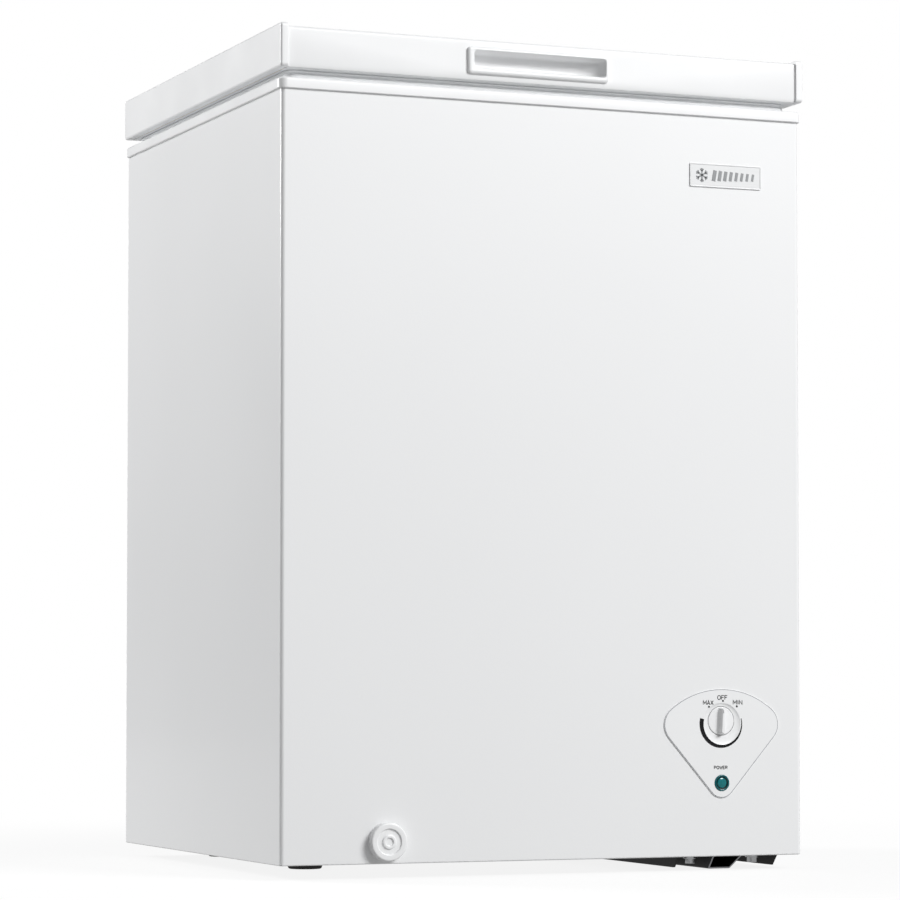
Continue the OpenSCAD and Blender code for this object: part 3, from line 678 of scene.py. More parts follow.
class FREEZER_OT_liner(bpy.types.Operator):
    """Formed liner with its step over the compressor bay"""
    bl_idname = "freezer.liner"
    bl_label = "Inner liner"

    STEP_LEFT = 51
    STEP_UP = 44.2

    def execute(self, context):
        x0, y0 = WELL_LOW.x + LINER_SKIN, WELL_LOW.y + LINER_SKIN
        x1, y1 = WELL_HIGH.x - LINER_SKIN, WELL_HIGH.y - LINER_SKIN
        r = WELL_CORNER
        step_x = box("rear_grille")[0].x - self.STEP_LEFT
        step_z = box("base_panel")[1].z + self.STEP_UP
        floor_z = WELL_LOW.z + LINER_SKIN
        plug_low, plug_high = box("drain_plug")
        plug = (plug_low.x + plug_high.x) / 2, (plug_low.y + plug_high.y) / 2
        shape = Shape()
        upper = round_rect(x0, y0, x1, y1, r, 8)
        lower = round_rect(x0, y0, step_x, y1, r, 8)
        shape.loft([plan_view(upper, WELL_HIGH.z), plan_view(upper, step_z)], caps=(False, False))
        shape.loft([plan_view(lower, step_z), plan_view(lower, floor_z)], caps=(False, False))
        ledge = ([(step_x - r, y0)] + arc(x1 - r, y0 + r, r, 270, 360, 8) + arc(x1 - r, y1 - r, r, 0, 90, 8)
                 + [(step_x - r, y1)] + arc(step_x - r, y1 - r, r, 90, 0, 8)[1:]
                 + arc(step_x - r, y0 + r, r, 0, -90, 8)[:-1])
        shape.fill(plan_view(ledge, step_z))
        drain = [plan_view(circle(*plug, 8, 32), z) for z in (floor_z, floor_z - 14)]
        shape.fill(plan_view(lower, floor_z), drain[:1])
        shape.loft(drain, caps=(False, False))
        fold = context.scene.freezer_cabinet.liner_fold
        liner = piece("liner_shell", shape, [liner_sheet()], "cabinet",
                      ["inner_liner"], 50, False)
        bevel = liner.modifiers.new("Folds", "BEVEL")
        bevel.width = fold
        bevel.segments = 4
        bevel.limit_method = "ANGLE"
        bevel.angle_limit = radians(50)
        bevel.use_clamp_overlap = True
        bevel.harden_normals = True
        return {"FINISHED"}


# ---------------------------------------------------------------- lid

class FREEZER_OT_lid(bpy.types.Operator):
    """Lid skin, end caps, inner pan and gasket"""
    bl_idname = "freezer.lid"
    bl_label = "Lid"

    def skin(self, s):
        low, high = LID_LOW, LID_HIGH
        edge, slope = s.skirt_edge / MM, s.chamfer / MM
        lip = 10
        y0, y1, z0, z1 = low.y, high.y, low.z, high.z
        section = [(y0 + lip, z0 + 1.6), (y0 + lip, z0), (y0 + slope, z0),
                   (y0 + slope * 0.35, z0 + 0.6), (y0, z0 + slope)]
        fascia = len(section) - 1
        section += [(y0 + i, z1 - d) for i, d in edge_round(edge, 4)]
        section += [(y1 - i, z1 - d) for i, d in reversed(edge_round(edge, 4))]
        section += [(y1, z0 + 1.5), (y1 - 1.5, z0), (y1 - lip, z0), (y1 - lip, z0 + 1.6)]
        rings = [side_view(section, x) for x in (low.x, high.x)]
        shape = Shape().loft(rings, closed=False, caps=(False, False), skip={(0, fascia)})
        handle_low, handle_high = box("lid_handle")
        hole = round_rect(handle_low.x + 4, handle_low.z + 2.5, handle_high.x - 2.5, handle_high.z - 2.5, 3)
        front = [(low.x, z0 + slope), (high.x, z0 + slope), (high.x, z1 - edge), (low.x, z1 - edge)]
        shape.fill(front_view(front, y0), [front_view(hole, y0)])
        piece("lid_skin", shape, [white_trim()], "lid", ["lid_outer"], 40)

    def end_cap(self, name, node, outward, s):
        low, high = box(node)
        edge = s.cap_edge / MM
        inner, outer = (low.x, high.x) if outward > 0 else (high.x, low.x)
        steps = [(0.6, 0.0), (0.2, 0.2), (0.0, 0.7)]
        rings = [(i, inner + outward * d) for i, d in steps]
        rings += [(i, outer - outward * d) for i, d in edge_round(edge, 4)]
        shape = Shape().loft([side_view(round_rect(low.y, low.z, high.y, high.z, 3.6, 6, i), x)
                              for i, x in rings])
        piece(name, shape, [white_trim()], "lid", [node], 40)

    def pan(self):
        low, high = box("lid_inner")
        flange = LID_LOW.z
        plug = WELL_LOW.x + 13.2, WELL_LOW.y + 13.2, WELL_HIGH.x - 13.2, WELL_HIGH.y - 13.2

        def at(inset, z):
            return plan_view(round_rect(*plug, 18, 8, inset), z)
        rings = [plan_view(round_rect(low.x, low.y, high.x, high.y, 0.5, 8), flange), at(-3.0, flange)]
        rings += [at(-3 + 3 * sin(t), flange - 3 + 3 * cos(t)) for t in (0.4, 0.8, 1.2, pi / 2)]
        rings += [at(0, low.z + 5)]
        rings += [at(i, low.z + d) for i, d in edge_round(5, 4)]
        rings += [at(24, low.z), at(25, low.z + 0.2), at(26.2, low.z + 0.8), at(27.5, low.z + 0.9),
                  at(64.5, low.z + 0.9), at(65.8, low.z + 0.8), at(67, low.z + 0.2), at(68, low.z)]
        shape = Shape().loft(rings, caps=(False, True))
        piece("lid_pan", shape, [liner_sheet()], "lid", ["lid_inner"], 40)

    def gasket(self, s):
        low, high = box("lid_gasket")
        wide = 16
        half = [(1.0, high.z), (0, high.z - 1.2), (1.8, high.z - 2.8), (1.8, high.z - 3.6),
                (0.3, high.z - 4.6), (0, high.z - 6.4), (0.6, low.z + 0.5), (2, low.z)]
        section = half + [(wide - i, z) for i, z in reversed(half)]
        rings = [plan_view(round_rect(low.x, low.y, high.x, high.y, 11, 8, i), z) for i, z in section]
        shape = Shape().loft(rings + [rings[0]], caps=(False, False))
        vinyl = finish("gasket_vinyl", moulded(s.gasket, 0.55, 0.00003, 500, 0.4, 0.04))
        piece("magnetic_gasket", shape, [vinyl], "lid", ["lid_gasket"], 50)

    def execute(self, context):
        s = context.scene.freezer_lid
        self.skin(s)
        self.end_cap("end_cap_left", "lid_end_cap_left", -1, s)
        self.end_cap("end_cap_right", "lid_end_cap_right", 1, s)
        self.pan()
        self.gasket(s)
        return {"FINISHED"}


class FREEZER_OT_handle(bpy.types.Operator):
    """Handle bezel with its scooped finger pocket"""
    bl_idname = "freezer.handle"
    bl_label = "Handle"

    def execute(self, context):
        edge = context.scene.freezer_lid.handle_edge / MM
        low, high = box("lid_handle")
        face, wall = low.y, LID_LOW.y
        back = wall + 15.5
        outer = low.x, low.z, high.x, high.z
        pocket = low.x + 7, low.z + 5, high.x - 4, high.z - 4

        def bezel(inset, y):
            return front_view(round_rect(*outer, 4, 6, inset), y)

        def scoop(left, bottom, right, top, y, r):
            x0, z0, x1, z1 = pocket
            return front_view(round_rect(x0 + left, z0 + bottom, x1 - right, z1 - top, r), y)
        rings = [bezel(0, wall)] + [bezel(i, face + d) for i, d in edge_round(edge, 6)]
        rings += [scoop(-1.2, -0.6, -1.2, -1.2, face, 4.2), scoop(-0.4, 0.0, -0.4, -0.4, face + 0.3, 3.4),
                  scoop(0, 0.5, 0, 0, face + 1.2, 3), scoop(0.2, 1.3, 0.4, 0, face + 4, 3),
                  scoop(0.5, 1.9, 1.6, 0, face + 8, 3.2), scoop(1.0, 2.5, 4.6, 0.2, face + 12, 3.4),
                  scoop(2.0, 3.2, 10.0, 0.5, face + 15.5, 3.4), scoop(3.4, 3.9, 17, 1.2, back - 0.8, 3.2),
                  scoop(5.0, 4.6, 26, 2.2, back, 2.6)]
        shape = Shape().loft(rings, caps=(False, True))
        piece("lid_handle_scoop", shape, [white_trim()], "lid", ["lid_handle"], 50, False)
        return {"FINISHED"}


# ---------------------------------------------------------------- front

class FREEZER_OT_badge(bpy.types.Operator):
    """Brushed badge with a snowflake and a row of bars"""
    bl_idname = "freezer.badge"
    bl_label = "Badge"

    ARM, ARM_WIDE = 7.0, 1.5
    TWIG, TWIG_WIDE, TWIG_OUT = 3.0, 1.15, 4.2
    BARS, PITCH, SLANT = 8, 6.2, 80
    TALL, TALL_STEP = 11.0, 0.55
    WIDE, WIDE_STEP = 3.9, 0.2

    def bar(self, shape, x, z, span, width, turn, y0, y1):
        """One raised stroke centred at x and z."""
        u, v = span / 2, width / 2
        corners = [(-u, -v), (u, -v), (u, v), (-u, v)]
        ends = [(x + a * cos(turn) - b * sin(turn), z + a * sin(turn) + b * cos(turn)) for a, b in corners]
        shape.loft([front_view(ends, y1), front_view(ends, y0)], finish=1)

    def snowflake(self, shape, cx, cz, y0, y1):
        """Six arms, each with a twig on either side."""
        for k in range(6):
            turn = pi / 3 * k + pi / 6
            ux, uz = cos(turn), sin(turn)
            x, z = cx + ux * self.ARM / 2, cz + uz * self.ARM / 2
            self.bar(shape, x, z, self.ARM, self.ARM_WIDE, turn, y0, y1)
            for side in (-1, 1):
                lean = turn + side * pi / 4
                x = cx + ux * self.TWIG_OUT + cos(lean) * 1.3
                z = cz + uz * self.TWIG_OUT + sin(lean) * 1.3
                self.bar(shape, x, z, self.TWIG, self.TWIG_WIDE, lean, y0, y1)

    def row(self, shape, left, z, y0, y1):
        """Slanted bars that grow smaller to the right."""
        for k in range(self.BARS):
            tall, wide = self.TALL - self.TALL_STEP * k, self.WIDE - self.WIDE_STEP * k
            self.bar(shape, left + self.PITCH * k, z, tall, wide, radians(self.SLANT), y0, y1)

    def execute(self, context):
        low, high = box("badge_plate")
        x0, x1, z0, z1 = low.x, high.x, low.z, high.z
        face = low.y + 0.25
        rings = [(0, high.y), (0, low.y + 0.3), (0.15, low.y + 0.05), (0.4, low.y), (1.1, low.y),
                 (1.35, low.y + 0.1), (1.5, face)]
        shape = Shape().loft([front_view(round_rect(x0, z0, x1, z1, 1.6, 6, i), y) for i, y in rings])
        level = (z0 + z1) / 2
        self.snowflake(shape, x0 + 13.5, level, low.y, face + 0.1)
        self.row(shape, x0 + 27.5, level, low.y, face + 0.1)
        plate = finish("badge_brushed", brushed)
        stroke = finish("badge_stroke", plated((0.20, 0.205, 0.21), 0.34, (1, 1, 1), 700))
        piece("badge", shape, [plate, stroke], "cabinet", ["badge_plate"], 30)
        return {"FINISHED"}


class PanelOutline:
    """Crown, two shoulders and a toe, in X and Z, as the control panel is drawn."""

    CROWN, SHOULDER, TOE, SPREAD = 90.0, 20.0, 15.0, 44.0

    def __init__(self, low, high, lamp_z):
        self.x = (low.x + high.x) / 2
        self.lamp_z = lamp_z
        self.crown_z = high.z - self.CROWN
        self.shoulder_z = self.crown_z + sqrt((self.CROWN - self.SHOULDER) ** 2 - self.SPREAD ** 2)
        self.half = degrees(atan2(self.SPREAD, self.shoulder_z - self.crown_z))
        rise = self.shoulder_z - lamp_z
        reach = hypot(self.SPREAD, rise)
        self.flank = degrees(atan2(rise, self.SPREAD)) + degrees(acos((self.SHOULDER - self.TOE) / reach))

    def at(self, inset):
        x, half, flank = self.x, self.half, self.flank
        shoulder = self.SHOULDER - inset
        left = arc(x - self.SPREAD, self.shoulder_z, shoulder, 90 + half, 360 - flank, 10)
        right = arc(x + self.SPREAD, self.shoulder_z, shoulder, 180 + flank, 450 - half, 10)
        return (arc(x, self.crown_z, self.CROWN - inset, 90 - half, 90 + half, 18) + left[1:]
                + arc(x, self.lamp_z, self.TOE - inset, 360 - flank, 180 + flank, 10) + right[:-1])


class FREEZER_OT_controls(bpy.types.Operator):
    """Control panel with its dish, printed scale, knob and lamp"""
    bl_idname = "freezer.controls"
    bl_label = "Controls"

    DISH = 20.5
    DROP = 3.0
    SLOPE = 1.2
    PROUD = 1.1

    def panel(self, s, outline, dial, face):
        shape = Shape()
        steps = [(0, FRONT), (0, face + 0.3), (0.12, face + 0.08), (0.3, face), (0.32, face + 0.1),
                 (0.92, face + 0.1), (0.95, face), (1.4, face)]
        rings = [front_view(outline.at(i), y) for i, y in steps]
        # Finish 1 greys the 0.1 mm groove near the panel's edge: painted shade.
        shape.loft(rings, caps=(False, False), finishes=[0, 0, 0, 1, 1, 1, 0])
        lamp = outline.x, outline.lamp_z
        x, z = dial
        rim = self.DISH + 0.8
        drop, throat = self.DROP, (KNOB_HIGH.x - KNOB_LOW.x) / 2 + 0.55
        shape.fill(rings[-1], [front_view(circle(x, z - drop, rim, 64), face),
                               front_view(circle(*lamp, 6.4, 40), face)])
        funnel = [(rim, 0, drop), (self.DISH + 0.35, 0.12, drop), (self.DISH, 0.45, drop - 0.02)]
        for part in (0.12, 0.3, 0.5, 0.7, 0.85, 0.95, 1.0):
            sag = 0.2 * sin(pi * part)
            funnel.append((self.DISH + (throat - self.DISH) * part + sag, 0.45 + self.SLOPE * part + sag,
                           drop * (1 - part)))
        depth = FRONT + 8 - face
        funnel += [(throat, 0.8 + self.SLOPE, 0), (throat, depth, 0), (3.2, depth, 0)]
        rings = [front_view(circle(x, z - low, r, 64), face + d) for r, d, low in funnel]
        shape.loft(rings, caps=(False, False))
        shape.spin([(6.4, 0), (6.4, 4)], (lamp[0], face, lamp[1]), sides=40, caps=(False, False))
        groove_shade = finish("panel_groove_shade", moulded(s.outline, 0.6))
        piece("control_panel_moulding", shape, [white_trim(), groove_shade], "cabinet",
              ["control_panel"], 40)

    LETTERS = {
        "A": [[(0, 0), (0.5, 1), (1, 0)], [(0.2, 0.34), (0.8, 0.34)]],
        "E": [[(1, 0), (0, 0), (0, 1), (1, 1)], [(0, 0.52), (0.85, 0.52)]],
        "F": [[(0, 0), (0, 1), (1, 1)], [(0, 0.52), (0.85, 0.52)]],
        "I": [[(0.5, 0), (0.5, 1)]],
        "M": [[(0, 0), (0, 1), (0.5, 0.3), (1, 1), (1, 0)]],
        "N": [[(0, 0), (0, 1), (1, 0), (1, 1)]],
        "O": [[(0.5 + 0.5 * cos(t), 0.5 + 0.5 * sin(t)) for t in [2 * pi * k / 20 for k in range(21)]]],
        "P": [[(0, 0), (0, 1), (0.7, 1), (0.95, 0.88), (0.95, 0.6), (0.7, 0.46), (0, 0.46)]],
        "R": [[(0, 0), (0, 1), (0.7, 1), (0.95, 0.88), (0.95, 0.6), (0.7, 0.46), (0, 0.46)],
              [(0.55, 0.46), (1, 0)]],
        "W": [[(0, 1), (0.25, 0), (0.5, 0.8), (0.75, 0), (1, 1)]],
        "X": [[(0, 0), (1, 1)], [(0, 1), (1, 0)]],
    }
    WIDE = {"I": 0.25, "M": 1.15, "O": 1.15, "W": 1.3}

    def word(self, shape, text, x, z, height, width, stroke, y):
        """One word in plain capitals, fitted to its width and height."""
        gap = 0.34
        total = sum(self.WIDE.get(letter, 0.9) for letter in text) + gap * (len(text) - 1)
        unit, left = width / total, x - width / 2
        for letter in text:
            wide = self.WIDE.get(letter, 0.9) * unit
            for line in self.LETTERS[letter]:
                path = [Vector((left + u * wide, z + (v - 0.5) * height)) for u, v in line]
                self.ribbon(shape, path, stroke, y)
            left += wide + gap * unit

    def ribbon(self, shape, path, width, y):
        """A line of even width along a path in X and Z."""
        sides = ([], [])
        looped = (path[0] - path[-1]).length < 0.01
        for i, p in enumerate(path):
            before = path[i - 1] if i else (path[-2] if looped else None)
            after = path[i + 1] if i < len(path) - 1 else (path[1] if looped else None)
            steps = [(a, b) for a, b in ((before, p), (p, after)) if a is not None and b is not None]
            ways = [(b - a).normalized() for a, b in steps]
            normals = [Vector((-way.y, way.x)) for way in ways]
            lean = sum(normals, Vector((0, 0))).normalized()
            reach = width / 2 / max(lean.dot(normals[0]), 0.45)
            for side, sign in zip(sides, (-1, 1)):
                side.append(p + lean * sign * reach)
        shape.loft([front_view(side, y) for side in sides], closed=False, caps=(False, False))

    def printing(self, s, dial, lamp, face):
        shape = Shape()
        x, z = dial
        ink = face - 0.03
        reach, dot = s.mark_radius / MM, s.dot / MM
        dots = reach + 1.6
        for turn in (-41, 0, 40):
            a = radians(turn)
            shape.fill(front_view(circle(x + 1.6 + dots * sin(a), z - 4.0 + dots * cos(a), dot, 20), ink))
        wide, narrow = s.arc_wide / MM, s.arc_narrow / MM
        count = 56
        inner, outer = [], []
        for i in range(count + 1):
            part = i / count
            a = radians(180 - 14 + (208 * part))
            width = wide + (narrow - wide) * part ** 1.35
            near, far = reach - width / 2, reach + width / 2
            inner.append((x + near * cos(a), z - self.DROP + near * sin(a)))
            outer.append((x + far * cos(a), z - self.DROP + far * sin(a)))
        shape.loft([front_view(inner, ink), front_view(outer, ink)], closed=False, caps=(False, False))
        tall = s.letters / MM
        self.word(shape, "MAX", x - 15.0, z + 18.3, tall, 11.2, 0.88, ink)
        self.word(shape, "OFF", x + 0.9, z + 23.4, tall, 10.8, 0.82, ink)
        self.word(shape, "MIN", x + 18.0, z + 18.5, tall, 10.0, 0.88, ink)
        self.word(shape, "POWER", lamp[0] - 1.2, lamp[1] + 15.4, tall * 0.72, 14.6, 0.72, ink)
        piece("dial_printing", shape, [dark_print()], "cabinet", (), 30, False)

    def knob(self, dial):
        x, z = dial
        r = (KNOB_HIGH.x - KNOB_LOW.x) / 2
        shape = Shape()
        back = FRONT + 7.4
        front = FRONT + 0.2
        skirt = [(r - 1.4, back), (r - 0.4, back - 0.4), (r, back - 1.2), (r, front + 0.5),
                 (r - 0.12, front + 0.2), (r - 0.4, front), (r - 1.1, front - 0.05), (4, front - 0.05)]
        shape.spin(skirt, (x, 0, z))
        ridge_front = KNOB_LOW.y
        half_low, half_high, reach = 3.9, 2.7, r - 1.1

        def ridge(grow, y):
            low_w, high_w, span = half_low + grow, half_high + grow, reach + grow * 0.5
            r0, r1 = max(low_w * 0.75, 0.2), max(high_w * 0.75, 0.2)
            outline = (arc(x + high_w - r1, z + span - r1, r1, 0, 90, 5)
                       + arc(x - high_w + r1, z + span - r1, r1, 90, 180, 5)
                       + arc(x - low_w + r0, z - span + r0, r0, 180, 270, 5)
                       + arc(x + low_w - r0, z - span + r0, r0, 270, 360, 5))
            return front_view(outline, y)
        foot = [(1.2, front), (0.7, front - 0.3), (0.2, front - 0.9), (-0.4, front - 2.2)]
        crest = [(-1.0, ridge_front + 2.0), (-1.4, ridge_front + 1.1), (-1.7, ridge_front + 0.5),
                 (-2.0, ridge_front + 0.2), (-2.3, ridge_front)]
        shape.loft([ridge(grow, y) for grow, y in foot + crest], caps=(False, True))
        low, high = z + reach - 5.5, z + reach - 2.6
        pointer = [(x - 0.35, low), (x + 0.35, low), (x + 0.35, high), (x - 0.35, high)]
        shape.loft([front_view(pointer, y) for y in (ridge_front + 0.3, ridge_front)], finish=1)
        line = finish("pointer_line", moulded((0.25, 0.26, 0.28), 0.5))
        piece("knob", shape, [white_trim(), line], "knob", ["thermostat_knob"], 38)

    def lamp(self, s, lamp, face):
        x, z = lamp
        shape = Shape()
        profile = [(8.2, face), (8.2, face - 0.35), (8.0, face - 0.62), (7.6, face - 0.78),
                   (7.1, face - 0.8), (6.6, face - 0.55), (5.9, face - 0.1), (5.3, face + 0.3),
                   (5.25, face + 1.6)]
        # Finish 1 paints near-black shade on the ring's inner slope, in the hollow next to the lens.
        shape.spin(profile, (x, 0, z), sides=56, caps=(False, False), finishes=[0, 0, 0, 0, 0, 1, 1, 1])
        bezel = finish("lamp_bezel", moulded(s.bezel, 0.22, 0.00001, 900, 0.4))
        groove_shade = finish("lamp_groove_shade", moulded((0.0, 0.012, 0.013), 0.4))
        piece("lamp_ring", shape, [bezel, groove_shade], "cabinet", ["lamp_housing"], 40)
        dome = [(5.2, face + 1.4)] + [(5.2 * cos(t), face + 0.1 - 1.05 * sin(t))
                                      for t in [pi / 2 * i / 8 for i in range(9)]]
        lens = finish("lamp_lens", lamp_glass(s.lamp))
        piece("lamp_dome", Shape().spin(dome, (x, 0, z), sides=56, caps=(True, False)), [lens], "cabinet",
              ["lamp_lens"], 60, False)

    def execute(self, context):
        s = context.scene.freezer_controls
        lamp = middle(LAMP_LOW, LAMP_HIGH)
        dial = middle(KNOB_LOW, KNOB_HIGH)
        face = FRONT - self.PROUD
        outline = PanelOutline(PANEL_LOW, PANEL_HIGH, lamp[1])
        self.panel(s, outline, dial, face)
        self.printing(s, dial, lamp, face)
        self.knob(dial)
        self.lamp(s, lamp, face)
        return {"FINISHED"}


class FREEZER_OT_drain(bpy.types.Operator):
    """Drain cap, its ring on the cabinet and the plug inside the well"""
    bl_idname = "freezer.drain"
    bl_label = "Drain"

    def execute(self, context):
        hub = context.scene.freezer_fittings.hub / MM
        x, z = middle(DRAIN_LOW, DRAIN_HIGH)
        r = (DRAIN_HIGH.x - DRAIN_LOW.x) / 2
        face = DRAIN_LOW.y
        back = FRONT - 3.1
        cap = [(r - 0.8, back), (r - 0.1, back - 0.3), (r, back - 1.0), (r, face + 1.5),
               (r - 0.35, face + 0.6), (r - 1.1, face + 0.1), (r - 2.0, face), (13.2, face),
               (12.7, face + 0.25), (12.4, face + 0.9),
               (12.2, face + 1.5), (11.6, face + 1.7), (hub + 1.0, face + 1.6), (hub + 0.4, face + 1.3),
               (hub, face + 0.5), (hub - 0.5, face + 0.15), (hub - 1.2, face + 0.05), (4.4, face + 0.1),
               (4.1, face + 0.4), (3.9, face + 1.3), (3.2, face + 1.6)]
        shape = Shape().spin(cap, (x, 0, z), sides=72, caps=(False, True))
        shape.spin([(8, back), (8, FRONT + 11), (7, FRONT + 12)], (x, 0, z), sides=40, caps=(False, True))
        shape.spin([(r - 0.8, back), (8, back)], (x, 0, z), sides=72, caps=(False, False))
        piece("drain_cap_disc", shape, [white_trim()], "drain_cap", ["drain_cap"], 40)
        ring = [(r - 0.05, FRONT), (r - 0.05, FRONT - 2.0), (r - 0.3, FRONT - 2.6), (r - 0.9, FRONT - 2.95),
                (10, FRONT - 3.0), (9.2, FRONT - 2.6), (8.1, FRONT - 1.6), (8.05, FRONT + 17)]
        shape = Shape().spin(ring, (x, 0, z), sides=72, caps=(False, False))
        for turn in (112, 128, 144):
            a = radians(turn)
            spin = Matrix.Translation((x, 0, z)) @ Matrix.Rotation(-a, 4, "Y")
            tab = Shape().block((r - 3.2, FRONT - 3.05, -1.5), (r - 0.02, FRONT - 0.2, 1.5), 0.5).moved(spin)
            shape.add(tab.points, tab.faces)
        piece("drain_ring", shape, [white_trim()], "cabinet", ["drain_spout"], 40)

        low, high = box("drain_plug")
        px, py = (low.x + high.x) / 2, (low.y + high.y) / 2
        top = WELL_LOW.z + LINER_SKIN
        stem = [(4.8, low.z), (5.9, low.z + 1.2), (5.9, top - 3), (5.4, top - 2.2), (5.4, top - 1.2),
                (5.9, top - 0.4), (5.9, top + 0.1), (10.2, top + 0.1), (10.9, top + 0.6), (11, top + 1.4),
                (10.4, top + 2.6), (9, top + 3.1), (3, top + 3.1)]
        shape = Shape().spin(stem, (px, py, 0), "z", 48)
        shape.block((px - 7, py - 1.5, top + 2.6), (px + 7, py + 1.5, high.z), 1.2)
        piece("well_plug", shape, [white_trim()], "drain_plug", ["drain_plug"], 40)
        return {"FINISHED"}


# ---------------------------------------------------------------- underneath and behind

class FREEZER_OT_underside(bpy.types.Operator):
    """Compressor tray and feet"""
    bl_idname = "freezer.underside"
    bl_label = "Underside"

    BOLT_X, BOLT_Y = (172, 242), (-217, -47)
    FOOT_X, FOOT_Y = (-185, 207), (-62, 190)

    def bent_sheet(self, shape, outline, axis_low, axis_high, sheet, slant):
        """A thin sheet following an open X-Z line, run from front to rear, with its cut ends painted light
        as a painted highlight along the sheet edges.
        """
        inner = []
        for i, (x, z) in enumerate(outline):
            before = Vector(outline[max(i - 1, 0)])
            after = Vector(outline[min(i + 1, len(outline) - 1)])
            along = (after - before).normalized()
            inner.append((x - along.y * sheet, z + along.x * sheet))
        loop = list(outline) + inner[::-1]
        top = max(z for _, z in outline)
        a = [(x, axis_low + slant * (top - z), z) for x, z in loop]
        b = front_view(loop, axis_high)
        shape.loft([a, b], caps=(False, False))
        n = len(outline)
        for ring in (a, b):
            shape.add(ring, [[i, i + 1, 2 * n - 2 - i, 2 * n - 1 - i] for i in range(n - 1)], 1)

    def tray(self):
        low, high = box("compressor_tray")
        sheet = 1.5
        shape = Shape()
        front, rear = low.y, high.y
        plate_z = high.z
        holes = [circle(x, y, 4, 24) for x in self.BOLT_X for y in self.BOLT_Y]
        plate = [(low.x, front), (high.x, front), (high.x, rear), (low.x, rear)]
        for z in (plate_z, plate_z - sheet):
            shape.fill(plan_view(plate, z), [plan_view(h, z) for h in holes])
        top = plate_z - sheet
        # The plate's edges take the light edge finish: painted highlight.
        shape.loft([plan_view(plate, z) for z in (plate_z, top)], caps=(False, False), finish=1)
        left = [(front + 24, top), (front + 30, 3.4), (front + 31, 2.4), (front + 33, 2),
                (rear - 26, 2), (rear - 23.5, 3.5), (rear - 23.5, top)]
        right = [(front + 14, top), (front + 25, 2.7), (rear - 23.5, 2.7), (rear - 23.5, top)]
        for line, x in ((left, low.x), (right, high.x - sheet)):
            shape.loft([side_view(line, x), side_view(line, x + sheet)])
        channel = [(183, top), (183, 2.2), (183.6, 1.2), (184.8, 0.8), (206.4, 0.8), (207.6, 1.3),
                   (208.2, 2.2), (216, top)]
        self.bent_sheet(shape, channel, FRONT + 6, FRONT + 150, sheet, 0.85)
        piece("compressor_tray_pressing", shape, [black_enamel(), cut_edge_highlight()], "cabinet",
              ["compressor_tray"], 30)

    def feet(self):
        shape = Shape()
        high = box("feet")[1]
        profile = [(2.7, 5), (6, 5), (6, 0.8), (6.6, 0), (15.6, 0), (16.6, 0.5), (17.2, 1.6), (17.6, 3.2),
                   (18.4, 4.2), (18.9, 5.4), (18.9, 8.2), (18.4, 8.8), (18.4, 9.6), (18.9, 10.2),
                   (18.9, high.z - 0.8), (18.2, high.z), (3, high.z)]
        for x in self.FOOT_X:
            for y in self.FOOT_Y:
                shape.spin(profile, (x, y, 0), "z", 48, caps=(False, False))
        piece("foot_pads", shape, [dark_rubber()], "cabinet", ["feet"], 40)

    def execute(self, context):
        self.tray()
        self.feet()
        return {"FINISHED"}


class FREEZER_OT_back(bpy.types.Operator):
    """Rear panel, ventilation grille and cord gland"""
    bl_idname = "freezer.back"
    bl_label = "Back"

    def execute(self, context):
        low, high = box("rear_panel")
        bay_low, bay_high = box("rear_grille")
        rear = REAR - 0.45
        shape = Shape()
        outer = [(low.x + 3, low.z), (high.x - 3, low.z), (high.x - 3, high.z), (low.x + 3, high.z)]
        bay = round_rect(bay_low.x + 9, bay_low.z + 8, bay_high.x - 9, bay_high.z - 8, 3)
        swages = [(-215, 330, 215, 640), (-215, 60, 60, 300)]
        rims = [round_rect(*area, 18, 6) for area in swages]
        shape.fill(front_view(outer, rear), [front_view(opening, rear) for opening in [bay, *rims]])
        for area in swages:
            steps = [(0, rear), (1.5, rear + 0.1), (3.5, rear + 0.7), (5, rear + 0.8), (11, rear + 0.8),
                     (12.5, rear + 0.7), (14.5, rear + 0.1), (16, rear)]
            shape.loft([front_view(round_rect(*area, 18, 6, i), y) for i, y in steps], caps=(False, True))
        piece("rear_sheet", shape, [galvanised()], "cabinet", ["rear_panel"], 35)

        shape = Shape()
        y0, y1 = bay_low.y, bay_high.y
        gland_low, gland_high = box("cord_gland")
        gland = middle(gland_low, gland_high)
        slot_up, slot_tall, pitch = CAB_LOW.z + 30, 7, 15
        slots = [round_rect(bay_low.x + 22, slot_up + i * pitch, bay_high.x - 22,
                            slot_up + slot_tall + i * pitch, 3.4, 4) for i in range(12)]
        screws = [circle(x, z, 2, 16) for x in (bay_low.x + 7, bay_high.x - 7)
                  for z in (bay_low.z + 7, bay_high.z - 7)]
        cut = slots + screws + [circle(*gland, 7.1, 40)]
        near = y0 + 0.05
        rings = [front_view(round_rect(bay_low.x, bay_low.z, bay_high.x, bay_high.z, 5, 6, i), y)
                 for i, y in ((0, near), (0, y1 - 0.5), (0.15, y1 - 0.15), (0.5, y1))]
        for ring, y in ((rings[0], near), (rings[-1], y1)):
            shape.fill(ring, [front_view(h, y) for h in cut])
        for h in cut:
            shape.loft([front_view(h, near), front_view(h, y1)], caps=(False, False))
        shape.loft(rings, caps=(False, False))
        piece("vent_grille", shape, [black_plastic()], "cabinet", ["rear_grille"], 35)

        front, back = gland_low.y, gland_high.y
        profile = [(4, front), (9.2, front), (9.4, front + 0.4), (9.4, REAR - 0.6), (7, REAR - 0.5),
                   (7, REAR + 2), (9.3, REAR + 2.05), (9.5, REAR + 2.6), (9.3, back - 1.4),
                   (8.2, back - 0.3), (7, back), (5, back), (4.3, back - 0.3), (4, back - 1), (4, front)]
        shape = Shape().spin(profile, (gland[0], 0, gland[1]), sides=40, caps=(False, False))
        piece("gland_bush", shape, [dark_rubber()], "cabinet", ["cord_gland"], 40)
        return {"FINISHED"}


